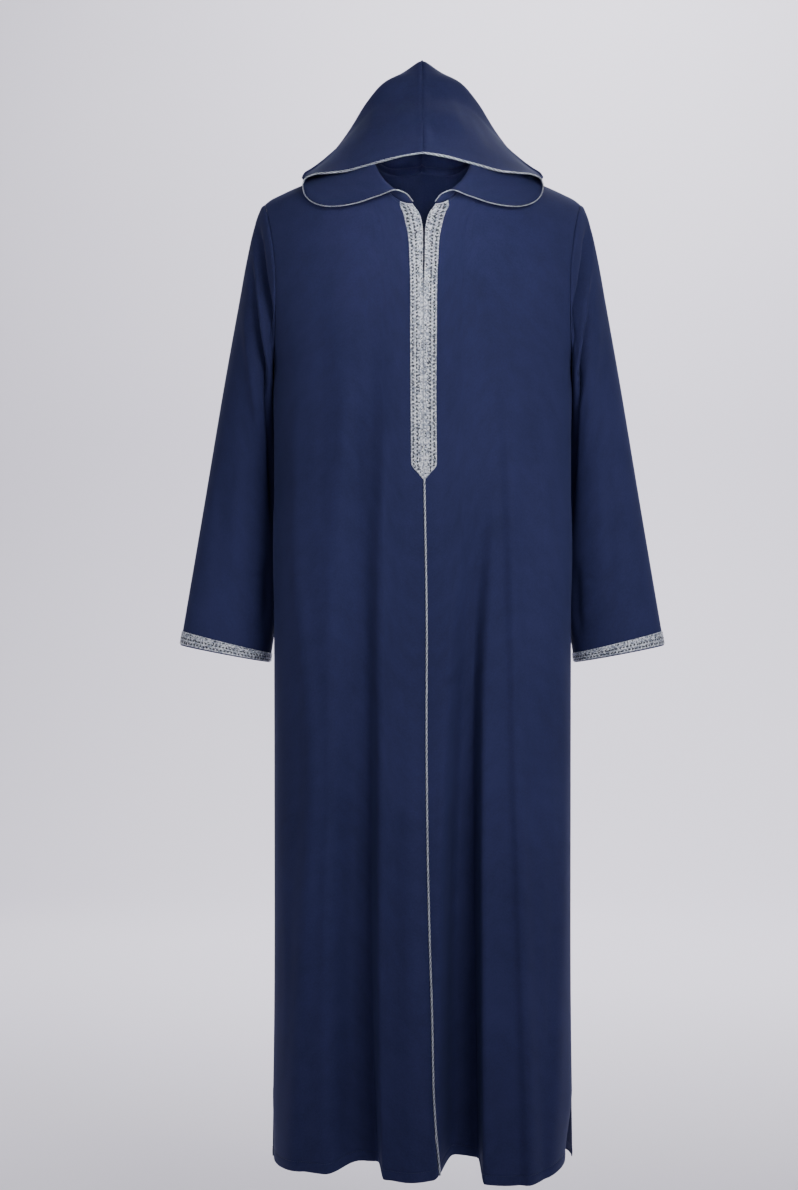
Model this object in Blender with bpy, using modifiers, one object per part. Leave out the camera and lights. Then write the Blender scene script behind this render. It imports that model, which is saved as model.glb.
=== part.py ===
"""A long hooded thobe, filled out as if it were worn, with nobody inside it.

Metres, +Z up. The origin is the middle of the neck at the height where the shoulder seams reach it.
+X is the wearer's left, and -Y is the front. Every table below is in millimetres.
"""

import math

import bmesh
import bpy
import numpy as np
from mathutils import Vector

MM = 0.001

# Cloth and seams
WALL = 1.5 * MM
SEAM = 0.3 * MM
NARROW = 3 * MM  # the first strip beside a seam, kept square to it so that the two walls don't meet
LAID_ON = 0.6 * MM
BRAID_THICKNESS = 1.4 * MM
BRAID_HEIGHT_AT_CUFF = 19 * MM
CUFF_EDGE = 2 * MM  # the cloth left bare below the cuff's braid
RIM_CORD = 1.7 * MM
FRONT_CORD = 1.5 * MM

# Body: the level of the underarm, the hem, and how the section rounds off
ARMPIT = -310 * MM
HEM = -1438 * MM
SHOULDER_ROUND = 160 * MM
SQUARENESS = 2.4
NECK_HALF_WIDTH = 75 * MM
FRONT_NECK_TURN = 1.234
BACK_NECK_TURN = 0.705
SIDE_SLIT_TOP = -1334 * MM
SIDE_SLIT_SPREAD = 4 * MM
HAND_SLIT = (-640 * MM, -488 * MM)
HAND_SLIT_SPREAD = 1.0 * MM
HAND_SLIT_BULGE = 1.5 * MM
SHOULDER_LEVEL = -68 * MM
NECK_ROUNDNESS = 2.2
SLEEVE_GAP = 3.5 * SEAM  # the armhole seam, wider than the others because the two walls meet at a slant
LEAST_BAND = 0.4 * MM

# Grid counts
ARMHOLE_ROWS = 10
SKIRT_ROWS = 15
FRONT_COLUMNS = 20
FRONT_NECK_COLUMNS = 4
BACK_COLUMNS = 28
BACK_NECK_COLUMNS = 3
SLEEVE_ROWS = 15
HOOD_ROWS = 18

# Height against the body's half width. Above the underarm it only shapes the armhole.
HALF_WIDTH = ((-1445, 216.5), (-1250, 213.5), (-900, 213), (-600, 213.5), (-400, 213.5), (-330, 213.5),
              (-310, 213.5), (-260, 222), (-180, 236), (-68, 245), (40, 245))
# How much narrower the front's edge hangs than the back's at the hem of the side slit
FRONT_EDGE_SWING = {-1: 3 * MM, 1: 12 * MM}
# Height against the body's depth before and behind the side seam
FRONT_DEPTH = ((-1445, 158), (-1100, 148), (-700, 143), (-350, 142), (-200, 134), (-85, 113), (40, 96))
BACK_DEPTH = ((-1445, 148), (-1100, 134), (-700, 124), (-400, 124), (-250, 128), (-120, 122), (40, 106))
# Distance from the middle against the height of the shoulder line
SHOULDER_LINE = ((0, 30), (75, 0), (130, -22), (170, -38.5), (188, -46), (204, -53.5), (218, -60.5), (228, -68))
# Height against the armhole seam's distance from the middle
ARMHOLE = ((-310, 213.5), (-280, 211), (-240, 208.5), (-164, 209), (-131, 213), (-95, 219.5), (-66, 227.5))
# Height against the place of the centre-front seam, which swings to the wearer's left near the hem
FRONT_SEAM = ((-1445, 23), (-1360, 16), (-1200, 11.5), (-1090, 8), (-1000, 6), (-860, 4.3), (-640, 4.3),
              (-510, 2), (-470, 1.2), (0, 1.5))
# Height against half the gap between the edges of the neck slit, and of the seam below it. The seam runs up the
# side of the deep recess near the hem, so there the two walls need more room across to stay apart.
NECK_SLIT = ((-1445, 0.8), (-1330, 0.6), (-1200, 0.3), (-1000, 0.15), (-250, 0.15), (-230, 0.15), (-200, 0.3),
             (-165, 1.2), (-140, 1.2), (-112, 2.6), (-94, 8), (-84, 15), (-70, 18), (40, 18))
# Distance from the middle against the height of the front's hem, before the folds lift it
FRONT_HEM = ((-220, -1437), (-190, -1434), (-150, -1433), (-80, -1435), (-25, -1436), (60, -1438), (90, -1444),
             (129, -1448), (165, -1446), (200, -1438), (220, -1437))

# Long folds of the front and the back: name, depth at the hem (a ridge is negative), half width of the -X flank
# where the fold starts and at the hem, the same of the +X flank, half width of its level floor at the hem,
# the height where it starts, and its path from there (height, x)
FRONT_FOLDS = (
    ("valley beside the right lobe", 46, 38, 66, 34, 19, 11, -190,
     ((-240, -64), (-490, -84), (-880, -84), (-1290, -80), (-1440, -74))),
    ("deep recess", 66, 26, 48, 24, 22, 16, -400,
     ((-400, 90), (-700, 66), (-1020, 60), (-1150, 60), (-1440, 61))),
    ("right thin ridge", -13, 14, 22, 16, 26, 0, -300,
     ((-360, -176), (-507, -180), (-860, -158), (-1110, -170), (-1440, -190))),
    ("left thin ridge", -14, 10, 16, 15, 24, 0, -180, ((-200, 104), (-507, 120), (-860, 130), (-1440, 150))),
    ("left side ridge", -9, 12, 20, 11, 18, 0, -200, ((-214, 138), (-500, 175), (-690, 197), (-1440, 186))),
    ("middle lobe", -9, 20, 30, 22, 34, 0, -700, ((-700, -18), (-1440, -18))),
)
BACK_FOLDS = (
    ("right back valley", 34, 28, 46, 20, 34, 0, -420, ((-420, -92), (-1440, -104))),
    ("middle back valley", 40, 24, 40, 29, 48, 0, -360, ((-360, 8), (-1440, -6))),
    ("left back valley", 30, 20, 34, 28, 46, 0, -500, ((-500, 84), (-1440, 102))),
)
HEM_LIFT = 0.33  # how far a valley lifts the hem, as a share of its depth

# Height against the half width of the braid band beside the neck slit
PLACKET = ((-470, 0.8), (-464, 6), (-458, 11.2), (-454, 14.9), (-451, 16.9), (-447, 17.8), (-440, 18), (-420, 18),
           (-400, 18), (-276, 18.5), (-163, 20), (-125, 22.5), (-105, 27), (-80, 33))
PLACKET_CORNER = -451 * MM  # where the band's straight side turns into the slanting side of its point
PLACKET_COLUMNS = 4

# Sleeve: the line along its outer edge from the shoulder to the cuff, and the line along its inner edge
# from the underarm to the cuff, as (x, y, z), with half its depth against its length
SLEEVE_OUTER = ((228.2, 0, -68.4), (231, 0, -71), (237, 1, -82), (244, 3, -104), (254, 8, -147), (265, 16, -205),
                (285, 32, -310), (318, 44, -500), (352.5, 45, -702))
SLEEVE_INNER = ((214.2, 0, -310.6), (215.6, 3, -316), (214.2, 14, -346), (213.2, 28, -393), (210.4, 42, -456),
                (210.4, 46, -600), (212.5, 46, -660), (221.5, 45, -727))
SLEEVE_DEPTH = ((0, 58), (0.35, 60), (0.7, 54), (1, 50))
HEAD_SHARE = 0.45  # the share of the sleeve over which its section turns from the armhole's into its own

# Hood, left half: seven sections from the neck seam out over the shoulder to the outer fold, and from that
# fold over the top to the crown seam. The first is the rim, and the last is the centre-back seam.
HOOD_SECTIONS = (
    (0.0, ((18, -106, -83), (28, -108, -71), (38, -110, -66.5), (66, -105, -72), (94, -100, -80), (115, -95, -83),
           (137, -86, -82), (156.5, -72, -73.5), (167.5, -58, -60), (171, -49, -47)),
          ((171, -49, -47), (167.5, -45, -37), (156, -44, -31), (135, -49, -29), (108, -57, -27), (85, -62, -21.5),
           (60, -68, -15.5), (31, -76, -9.5), (0, -80, -5))),
    (0.28, ((48, -93, -62), (52, -96, -50), (65, -93, -51), (95, -83, -55), (130, -68, -56), (160, -44, -47),
            (171, -24, -38)),
           ((171, -24, -38), (167, -18, -29), (150, -16, -16), (120, -16, 1), (80, -24, 20), (40, -35, 33),
            (0, -41, 39))),
    (0.43, ((60, -80, -41), (63, -82, -32), (74, -77, -31), (98, -62, -33), (130, -46, -36), (160, -32, -40),
            (172, -12, -32)),
           ((172, -12, -32), (168, -5, -24), (154, 0, -14), (126, 2, 8), (92, 0, 33), (60, -8, 52), (32, -17, 62),
            (0, -21, 63))),
    (0.571, ((75, 0, 0), (77, 0, 10), (86, 0, 8), (100, 0, -1), (130, 0, -15), (160, 0, -28), (171, 2, -25)),
            ((171, 2, -25), (168, 6, -19), (160, 10, -13), (132, 22, 12), (100, 30, 45), (72, 24, 73), (40, 12, 84),
             (0, -1, 86))),
    (0.8, ((50, 53, -10), (54, 58, 0), (62, 68, -6), (80, 80, -22), (98, 90, -30), (116, 94, -30)),
          ((116, 94, -30), (120, 93, -13), (113, 88, 20), (93, 78, 62), (74, 67, 97), (51, 53, 123), (25, 38, 129),
           (0, 31, 126))),
    (0.9, ((26, 66, -9), (29, 71, 1), (34, 80, -2), (43, 93, -14), (53, 103, -23), (66, 107, -21)),
          ((66, 107, -21), (71, 113, -2), (69, 111, 36), (58, 101, 76), (45, 87, 108), (29, 69, 133), (14, 55, 144),
           (0, 46, 142))),
    (1.0, ((0, 71, -8), (0, 75, 1), (0, 84, 0), (0, 98, -8), (0, 114, -2)),
          ((0, 114, -2), (0, 126, 25), (0, 122, 65), (0, 106, 105), (0, 84, 138), (0, 58, 154))),
)
HOOD_FOLD_AT = 0.5  # the outer fold's place along each section

FABRIC_COLOUR = (0.019, 0.031, 0.093, 1)
SILVER_COLOUR = (0.46, 0.48, 0.53, 1)


def curve_through(knots, values):
    """A smooth function through the values at the rising knots; a value is a number or a point."""
    knots = np.asarray(knots, float)
    values = np.asarray(values, float)
    if knots[0] > knots[-1]:
        knots, values = knots[::-1], values[::-1]
    steps = np.diff(knots)
    column = steps.reshape((-1,) + (1,) * (values.ndim - 1))
    slopes = np.diff(values, axis=0) / column
    tangents = np.concatenate([slopes[:1], slopes])
    tangents[1:-1] = (column[1:] * slopes[:-1] + column[:-1] * slopes[1:]) / (column[1:] + column[:-1])

    def value(at):
        at = min(max(at, knots[0]), knots[-1])
        i = min(int(np.searchsorted(knots, at, side="right")) - 1, len(steps) - 1)
        h = steps[i]
        s = (at - knots[i]) / h
        return ((1 + 2 * s) * (1 - s) ** 2 * values[i] + s * (1 - s) ** 2 * h * tangents[i]
                + s * s * (3 - 2 * s) * values[i + 1] + s * s * (s - 1) * h * tangents[i + 1])

    return value


def table(rows):
    """A smooth function of the first column, in metres, that gives the second one."""
    return curve_through([row[0] * MM for row in rows], [row[1] * MM for row in rows])


def path(points):
    """A smooth curve through the points, against its length from 0 to 1."""
    points = np.asarray(points, float) * MM
    lengths = np.concatenate([[0], np.cumsum(np.linalg.norm(np.diff(points, axis=0), axis=1))])
    return curve_through(lengths / lengths[-1], points)


def ease(share):
    """0 to 1 with level ends."""
    share = min(max(share, 0), 1)
    return share * share * (3 - 2 * share)


half_width_of = table(HALF_WIDTH)
front_depth_of = table(FRONT_DEPTH)
back_depth_of = table(BACK_DEPTH)
shoulder_height = table(SHOULDER_LINE)
armhole_of = table(ARMHOLE)
front_seam_of = table(FRONT_SEAM)
neck_slit_of = table(NECK_SLIT)
placket_of = table(PLACKET)
front_hem_of = table(FRONT_HEM)
FOLD_PATHS = {fold[0]: table(fold[-1]) for fold in FRONT_FOLDS + BACK_FOLDS}


def slit_share(z):
    """How far down the side slit this height lies, 0 at its top and 1 at the hem."""
    return ease((SIDE_SLIT_TOP - z) / (SIDE_SLIT_TOP - HEM))


def half_width(z, side, front):
    """Half the body's width on one side: more where the hand slit is, and less in front beside the side slit."""
    low, high = HAND_SLIT
    bulge = math.sin(math.pi * (z - low) / (high - low)) if low < z < high else 0
    swing = FRONT_EDGE_SWING[side] * slit_share(z) if front else 0
    return float(half_width_of(z)) + HAND_SLIT_BULGE * bulge - swing


def edge_x(z, side, front):
    """How far from the middle a panel ends: at the armhole, or at the side seam below it."""
    return float(armhole_of(z)) if z > ARMPIT else half_width(z, side, front)


def side_gap(z):
    """Half the gap between the front and the back at the side: a seam, the hand slit or the side slit."""
    low, high = HAND_SLIT
    if low < z < high:
        return SEAM / 2 + HAND_SLIT_SPREAD * math.sin(math.pi * (z - low) / (high - low))
    return SEAM / 2 + SIDE_SLIT_SPREAD * slit_share(z)


def fold_depth(folds, x, z):
    """How far the long folds move the cloth inwards here."""
    depth = 0
    for name, at_hem, minus_top, minus_hem, plus_top, plus_hem, floor, start, _ in folds:
        grown = min((start * MM - z) / (start * MM - HEM), 1)
        if grown <= 0:
            continue
        off = x - float(FOLD_PATHS[name](z))
        top, bottom = (minus_top, minus_hem) if off < 0 else (plus_top, plus_hem)
        width = (top + (bottom - top) * grown) * MM
        level = floor * grown * MM
        away = (abs(off) - level) / (width - level)
        if away < 1:
            depth += at_hem * MM * ease(grown ** 0.8) * 0.5 * (1 + math.cos(math.pi * max(away, 0)))
    return depth


def body_y(x, z, front):
    """The body's surface: a rounded section that closes over the shoulder, with the long folds in it."""
    share = min(abs(x) / half_width(z, 1 if x > 0 else -1, front), 1)
    flat = (1 - share ** SQUARENESS) ** (1 / SQUARENESS)
    drop = max(float(shoulder_height(abs(x))) - z, 0)
    turn = math.acos(max(1 - drop / SHOULDER_ROUND, 0))
    full = (front_depth_of if front else back_depth_of)(z) * flat * math.sin(turn)
    inwards = fold_depth(FRONT_FOLDS if front else BACK_FOLDS, x, z) * flat
    away = full - inwards + side_gap(z) * max(share ** 8, (1.8 + 2 * share ** 8) * (1 - math.sin(turn)))
    return -away if front else away


def hem_height(x, front):
    """The hem rises where a valley draws it in."""
    if front:
        return float(front_hem_of(x)) + HEM_LIFT * fold_depth(FRONT_FOLDS, x, HEM)
    return HEM + HEM_LIFT * fold_depth(BACK_FOLDS, x, HEM)


def neck_turn(x, front):
    """How far round the shoulder the neckline lies at this distance from the middle."""
    share = min(abs(x) / NECK_HALF_WIDTH, 1)
    full = FRONT_NECK_TURN if front else BACK_NECK_TURN
    return full * (1 - share ** NECK_ROUNDNESS) ** (1 / NECK_ROUNDNESS)


def yoke_height(x, row, front):
    """The height on a row between the top edge (0) and the level of the underarm (1)."""
    top = float(shoulder_height(abs(x)))
    start = SHOULDER_ROUND * (1 - math.cos(neck_turn(x, front)))
    return top - start - (top - start - ARMPIT) * (1 - math.cos(math.pi * row)) / 2


def panel_point(inner_x, share, side, row, front):
    """A point of a panel: share 0 is its inner edge and 1 its side; row 0 is its top, 1 the underarm, 2 the hem."""
    z = yoke_height(NECK_HALF_WIDTH, row, front) if row < 1 else ARMPIT
    x = 0
    for _ in range(12):
        inner = inner_x(z)
        x = inner + (side * edge_x(z, side, front) - inner) * share
        z = yoke_height(x, row, front) if row < 1 else ARMPIT + (hem_height(x, front) - ARMPIT) * (row - 1)
    return Vector((x, body_y(x, z, front), z))


def near(point, start, end):
    """Where point(at) lies one narrow strip away from point(start), between start and end."""
    near_at, far_at = start, end
    for _ in range(24):
        middle = (near_at + far_at) / 2
        if (point(middle) - point(start)).length < NARROW:
            near_at = middle
        else:
            far_at = middle
    return near_at


def column_shares(count, neck_columns, neck_share):
    """Even turns round the section, shifted so that one column ends at the point where shoulder and neck meet."""
    power = math.log(neck_share) / math.log(math.sin(math.pi / 2 * neck_columns / count))
    return [math.sin(math.pi / 2 * i / count) ** power for i in range(count + 1)]


def panel_rows():
    yoke = [i / ARMHOLE_ROWS for i in range(ARMHOLE_ROWS)]
    return yoke + [1 + i / SKIRT_ROWS for i in range(SKIRT_ROWS + 1)]


def panel_columns(inner_x, side, shares, front):
    """Each column's points from the top to the hem, with a narrow strip below the top edge."""
    columns = []
    for share in shares:
        def at(row, share=share):
            return panel_point(inner_x, share, side, row, front)
        rows = panel_rows()
        thin = near(at, 0, rows[1])
        columns.append([at(row) for row in [0, thin] + rows[1:]])
    return columns


def with_side_strip(columns):
    """Adds a column one narrow strip in from the last one, on the line to the column before it."""
    last, before = columns[-1], columns[-2]
    strip = []
    for end, other in zip(last, before):
        step = other - end
        square = Vector((0, step.y, step.z)) if end.z < ARMPIT else step
        strip.append(end + square.normalized() * NARROW)
    return columns[:-1] + [strip, last]


def front_columns(side):
    def inner_x(z):
        return float(front_seam_of(z)) + side * float(neck_slit_of(z))

    inner = side * inner_x(0)
    neck_share = (NECK_HALF_WIDTH - inner) / (edge_x(SHOULDER_LEVEL, side, True) - inner)
    shares = column_shares(FRONT_COLUMNS, FRONT_NECK_COLUMNS, neck_share)
    return with_side_strip(panel_columns(inner_x, side, shares, True))


def back_columns():
    neck_share = NECK_HALF_WIDTH / edge_x(SHOULDER_LEVEL, 1, False)
    shares = column_shares(BACK_COLUMNS // 2, BACK_NECK_COLUMNS, neck_share)
    halves = [with_side_strip(panel_columns(lambda z: 0, side, shares, False)) for side in (-1, 1)]
    return halves[0][:0:-1] + halves[1]


def sleeve_rings(side):
    """Rings from the armhole to the cuff. Each starts at the outer edge and goes round by the front."""
    outer = path(SLEEVE_OUTER)
    inner = path(SLEEVE_INNER)
    depth = curve_through([row[0] for row in SLEEVE_DEPTH], [row[1] * MM for row in SLEEVE_DEPTH])
    turns = [math.pi * k / ARMHOLE_ROWS for k in range(2 * ARMHOLE_ROWS)]

    def armhole(turn):
        front = turn <= math.pi
        row = (turn if front else 2 * math.pi - turn) / math.pi
        z = yoke_height(edge_x(SHOULDER_LEVEL, 1, front), row, front)
        x = edge_x(z, 1, front)
        return Vector((x + SLEEVE_GAP, body_y(x, z, front), z))

    def section(at, turn):
        top, bottom = Vector(outer(at)), Vector(inner(at))
        middle = (top + bottom) / 2
        return middle + (top - middle) * math.cos(turn) - Vector((0, float(depth(at)) * math.sin(turn), 0))

    length = (Vector(outer(1)) - Vector(outer(0))).length
    ends = [1 - (CUFF_EDGE + BRAID_HEIGHT_AT_CUFF) / length, 1 - CUFF_EDGE / length, 1]
    rows = [0, NARROW / length] + [ends[0] * i / SLEEVE_ROWS for i in range(1, SLEEVE_ROWS)] + ends
    rings = []
    for at in rows:
        kept = 1 - ease(at / HEAD_SHARE)
        ring = [section(at, turn) + (armhole(turn) - section(0, turn)) * kept for turn in turns]
        rings.append([Vector((side * p.x, p.y, p.z)) for p in ring])
    return rings


def hood_columns(side, front, back):
    """The hood half's columns from the rim to the centre back, each from the neck seam to the crown seam."""
    sections = [(at, path(under), path(over)) for at, under, over in HOOD_SECTIONS]
    half_back = back[len(back) // 2:] if side > 0 else back[len(back) // 2::-1]
    neckline = [column[0] for column in front[:FRONT_NECK_COLUMNS + 1]]
    neckline += [column[0] for column in half_back[BACK_NECK_COLUMNS - 1::-1]]
    seam = curve_of_chords([Vector((abs(p.x), p.y, p.z + 2 * SEAM)) for p in neckline])
    crown = curve_through([s[0] for s in sections], [s[2](1) for s in sections])
    steps = 2 * (len(neckline) - 1)

    def loft(at, up):
        along = up / HOOD_FOLD_AT if up < HOOD_FOLD_AT else (up - HOOD_FOLD_AT) / (1 - HOOD_FOLD_AT)
        points = [(under if up < HOOD_FOLD_AT else over)(along) for _, under, over in sections]
        return Vector(curve_through([s[0] for s in sections], points)(at))

    columns = []
    for i in range(steps + 1):
        at = i / steps
        low, high = seam(at) - loft(at, 0), Vector(crown(at)) - loft(at, 1)
        column = []
        for j in range(HOOD_ROWS + 1):
            up = j / HOOD_ROWS
            point = loft(at, up) + low * (1 - up) ** 3 + high * up ** 3
            point.x = max(point.x, 0) + SEAM / 2
            column.append(point)
        column.insert(-1, column[-1] + Vector((NARROW, 0, 0)))
        columns.append(column)
    columns.insert(-1, [point + Vector((NARROW, 0, 0)) for point in columns[-1]])
    columns[-2][-1] = (columns[-1][-1] + columns[-3][-1]) / 2
    return [[Vector((side * p.x, p.y, p.z)) for p in column] for column in columns]


def curve_of_chords(points):
    """Straight runs between the points, against an even count of them from 0 to 1."""
    def value(at):
        place = min(max(at, 0), 1) * (len(points) - 1)
        i = min(int(place), len(points) - 2)
        return points[i].lerp(points[i + 1], place - i)

    return value


def placket_rows(side, columns):
    """The braid band's points: rows down the slit's edge on the panel's own rows, each from that edge outwards."""
    lines = [list(line) for line in zip(*columns)][1:]
    kept = [lines[0]]
    for upper, lower in zip(lines, lines[1:]):
        kept += [[a.lerp(b, 0.5) for a, b in zip(upper, lower)], lower]
    kept = [line for line in kept if line[0].z > PLACKET_CORNER + NARROW]
    kept += [level_line(lines, PLACKET_CORNER), level_line(lines, PLACKET[0][0] * MM)]
    rows = []
    for line in kept:
        inner = line[0]
        to_seam = side * (inner.x - float(front_seam_of(inner.z)))
        width = max(float(placket_of(inner.z)) - to_seam, LEAST_BAND)
        places = [inner.x + side * width * k / PLACKET_COLUMNS for k in range(PLACKET_COLUMNS + 1)]
        rows.append([point_at_x(line, x) + Vector((0, -LAID_ON, 0)) for x in places])
    return rows


def level_line(lines, z):
    """The line across the panel, between two of its rows, whose inner end is at this height."""
    for upper, lower in zip(lines, lines[1:]):
        if upper[0].z >= z >= lower[0].z:
            share = (upper[0].z - z) / (upper[0].z - lower[0].z)
            return [a.lerp(b, share) for a, b in zip(upper, lower)]
    return list(lines[-1])


def point_at_x(line, x):
    for a, b in zip(line, line[1:]):
        if min(a.x, b.x) <= x <= max(a.x, b.x):
            return a.lerp(b, (x - a.x) / (b.x - a.x))
    return line[0].copy()


def cuff_band(rings):
    """The cuff's braid: the sleeve's last rings but one, moved out."""
    band = []
    for ring in rings[-3:-1]:
        middle = sum(ring, Vector()) / len(ring)
        band.append([p + (p - middle).normalized() * LAID_ON * 1.4 for p in ring])
    return band


def material(name, colour, roughness, metallic):
    made = bpy.data.materials.new(name)
    made.use_nodes = True
    shader = made.node_tree.nodes["Principled BSDF"]
    shader.inputs["Base Color"].default_value = colour
    shader.inputs["Roughness"].default_value = roughness
    shader.inputs["Metallic"].default_value = metallic
    return made


def put(collection, name, data, colour, roughness, metallic):
    data.materials.append(material(name, colour, roughness, metallic))
    obj = bpy.data.objects.new(name, data)
    collection.objects.link(obj)
    return obj


def cloth(collection, name, lines, thickness, outwards=False, closed=False, flip=False, silver=False):
    """A wall over the surface through these lines of points, made from a grid and thickened."""
    across = len(lines[0]) if closed else len(lines[0]) - 1
    along = len(lines) - 1
    mesh = bmesh.new()
    bmesh.ops.create_grid(mesh, x_segments=along, y_segments=across, size=1)
    for vertex in mesh.verts:
        i = round((vertex.co.x + 1) / 2 * along)
        j = round((vertex.co.y + 1) / 2 * across)
        vertex.co = lines[i][j % len(lines[i])]
    if closed:
        bmesh.ops.remove_doubles(mesh, verts=mesh.verts, dist=1e-6)
    if flip:
        bmesh.ops.reverse_faces(mesh, faces=mesh.faces)
    data = bpy.data.meshes.new(name)
    mesh.to_mesh(data)
    mesh.free()
    data.shade_smooth()
    if silver:
        obj = put(collection, name, data, SILVER_COLOUR, 0.42, 0.55)
    else:
        obj = put(collection, name, data, FABRIC_COLOUR, 0.85, 0.0)
    wall = obj.modifiers.new("Wall", "SOLIDIFY")
    wall.thickness = thickness
    wall.offset = 1 if outwards else -1
    wall.use_even_offset = False
    return obj


def cord(collection, name, points, radius):
    """A sewn-on cord through these points."""
    data = bpy.data.curves.new(name, "CURVE")
    data.dimensions = "3D"
    data.bevel_depth = radius
    data.bevel_resolution = 2
    data.use_fill_caps = True
    spline = data.splines.new("POLY")
    spline.points.add(len(points) - 1)
    for place, point in zip(spline.points, points):
        place.co = (*point, 1)
    return put(collection, name, data, SILVER_COLOUR, 0.4, 0.55)


def rim_route(hood):
    """The cord's centre along one hood half's rim, from the neck to the crown, just off the cloth's edge."""
    route = []
    rim, inside = hood[0], hood[1]
    for j in range(len(rim)):
        before, after = rim[max(j - 1, 0)], rim[min(j + 1, len(rim) - 1)]
        away = (rim[j] - inside[j]).normalized()
        along = (after - before).normalized()
        away = (away - along * away.dot(along)).normalized()
        route.append(rim[j] + away * (RIM_CORD + 3.5 * SEAM))
    return route


def front_cord_route(right, left):
    """The cord's centre down the centre-front seam, from the braid's tip to the hem, just off the cloth."""
    route = []
    right_lines, left_lines = list(zip(*right)), list(zip(*left))
    tip, count = (PLACKET[0][0] - 2) * MM, 26
    for i in range(count + 1):
        z = tip + (HEM + 1 * MM - tip) * i / count
        a, b = level_line(right_lines, z), level_line(left_lines, z)
        across = (b[1] - a[1]).normalized()
        outwards = Vector((across.y, -across.x, 0)).normalized()
        route.append((a[0] + b[0]) / 2 + outwards * (FRONT_CORD + 1.5 * SEAM))
    return route


def main():
    for old in list(bpy.data.objects):
        bpy.data.objects.remove(old, do_unlink=True)
    thobe = bpy.data.collections.new("Thobe")
    bpy.context.scene.collection.children.link(thobe)

    names = {-1: "right", 1: "left"}
    fronts = {side: front_columns(side) for side in names}
    back = back_columns()
    rims = {}
    cloth(thobe, "back_panel", back, WALL)
    for side, name in names.items():
        turned = side < 0
        cloth(thobe, f"front_panel_{name}", fronts[side], WALL, flip=not turned)
        cloth(thobe, f"placket_braid_{name}", placket_rows(side, fronts[side]), BRAID_THICKNESS,
              outwards=True, flip=turned, silver=True)
        rings = sleeve_rings(side)
        cloth(thobe, f"sleeve_{name}", rings, WALL, closed=True, flip=not turned)
        cloth(thobe, f"cuff_braid_{name}", cuff_band(rings), BRAID_THICKNESS, outwards=True, closed=True,
              flip=not turned, silver=True)
        hood = hood_columns(side, fronts[side], back)
        cloth(thobe, f"hood_{name}", hood, WALL, flip=turned)
        rims[side] = rim_route(hood)
    cord(thobe, "hood_rim_cord", rims[-1][:-2] + rims[1][-3::-1], RIM_CORD)
    cord(thobe, "front_seam_cord", front_cord_route(fronts[-1], fronts[1]), FRONT_CORD)


main()
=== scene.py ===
"""The looks of a long hooded thobe, dressed over its fixed frame.

Metres, +Z up. +X is the wearer's left and -Y is the front. Tables and named sizes marked MM are millimetres.
"""

from __future__ import annotations

import logging
import math
import sys
from dataclasses import dataclass
from enum import Enum
from functools import cached_property, partial
from typing import Callable, Sequence

import bmesh
import bpy
import numpy as np
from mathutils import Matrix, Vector

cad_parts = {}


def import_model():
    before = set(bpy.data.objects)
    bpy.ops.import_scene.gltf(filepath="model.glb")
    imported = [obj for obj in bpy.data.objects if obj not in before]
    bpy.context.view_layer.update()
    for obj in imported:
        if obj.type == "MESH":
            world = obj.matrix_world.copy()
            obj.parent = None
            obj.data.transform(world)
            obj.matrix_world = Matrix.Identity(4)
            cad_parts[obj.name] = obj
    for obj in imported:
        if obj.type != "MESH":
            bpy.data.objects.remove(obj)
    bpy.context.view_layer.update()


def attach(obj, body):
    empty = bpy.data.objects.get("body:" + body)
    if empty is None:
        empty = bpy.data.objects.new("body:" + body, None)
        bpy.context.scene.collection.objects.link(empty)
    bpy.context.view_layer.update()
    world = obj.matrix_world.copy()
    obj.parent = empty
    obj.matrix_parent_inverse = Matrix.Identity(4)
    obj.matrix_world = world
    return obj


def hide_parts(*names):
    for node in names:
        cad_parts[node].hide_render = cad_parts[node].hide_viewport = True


log = logging.getLogger("thobe")

MM = 0.001
TINY = 1e-12

Array = np.ndarray
Row = tuple[float, ...]


class Side(Enum):
    """The wearer's two sides, each with the sign of its X."""

    RIGHT = -1
    LEFT = 1

    @property
    def word(self) -> str:
        """The side's name in lower case."""
        return self.name.lower()


class Facing(Enum):
    """Which way a crease's cloth faces, with the sign of its outward Y."""

    FRONT = -1
    BACK = 1


# Smooth curves

class SmoothCurve:
    """A smooth function through values at given knots, read for many places at once."""

    def __init__(self, knots: Sequence[float], values: Sequence) -> None:
        """Works out the slope at each knot.

        Args:
            knots: rising or falling places.
            values: a number or a point for each knot.
        """
        places = np.asarray(knots, float)
        amounts = np.asarray(values, float)
        if places[0] > places[-1]:
            places = places[::-1]
            amounts = amounts[::-1]
        column = np.diff(places).reshape((-1,) + (1,) * (amounts.ndim - 1))
        slopes = np.diff(amounts, axis=0) / column
        tangents = np.concatenate([slopes[:1], slopes])
        tangents[1:-1] = (column[1:] * slopes[:-1] + column[:-1] * slopes[1:]) / (column[1:] + column[:-1])
        self.places = places
        self.amounts = amounts
        self.tangents = tangents

    def __call__(self, at: Array | float) -> Array:
        """The values at these places, held level past both ends."""
        at = np.clip(np.asarray(at, float), self.places[0], self.places[-1])
        i = np.clip(np.searchsorted(self.places, at, side="right") - 1, 0, len(self.places) - 2)
        step = self.places[i + 1] - self.places[i]
        s = (at - self.places[i]) / step
        for _ in range(self.amounts.ndim - 1):
            step = step[..., None]
            s = s[..., None]
        return ((1 + 2 * s) * (1 - s) ** 2 * self.amounts[i] + s * (1 - s) ** 2 * step * self.tangents[i]
                + s * s * (3 - 2 * s) * self.amounts[i + 1] + s * s * (s - 1) * step * self.tangents[i + 1])


def table(rows: Sequence[Row]) -> SmoothCurve:
    """A smooth function of the first column that gives the second, both turned from millimetres to metres."""
    return SmoothCurve([row[0] * MM for row in rows], [row[1] * MM for row in rows])


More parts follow.
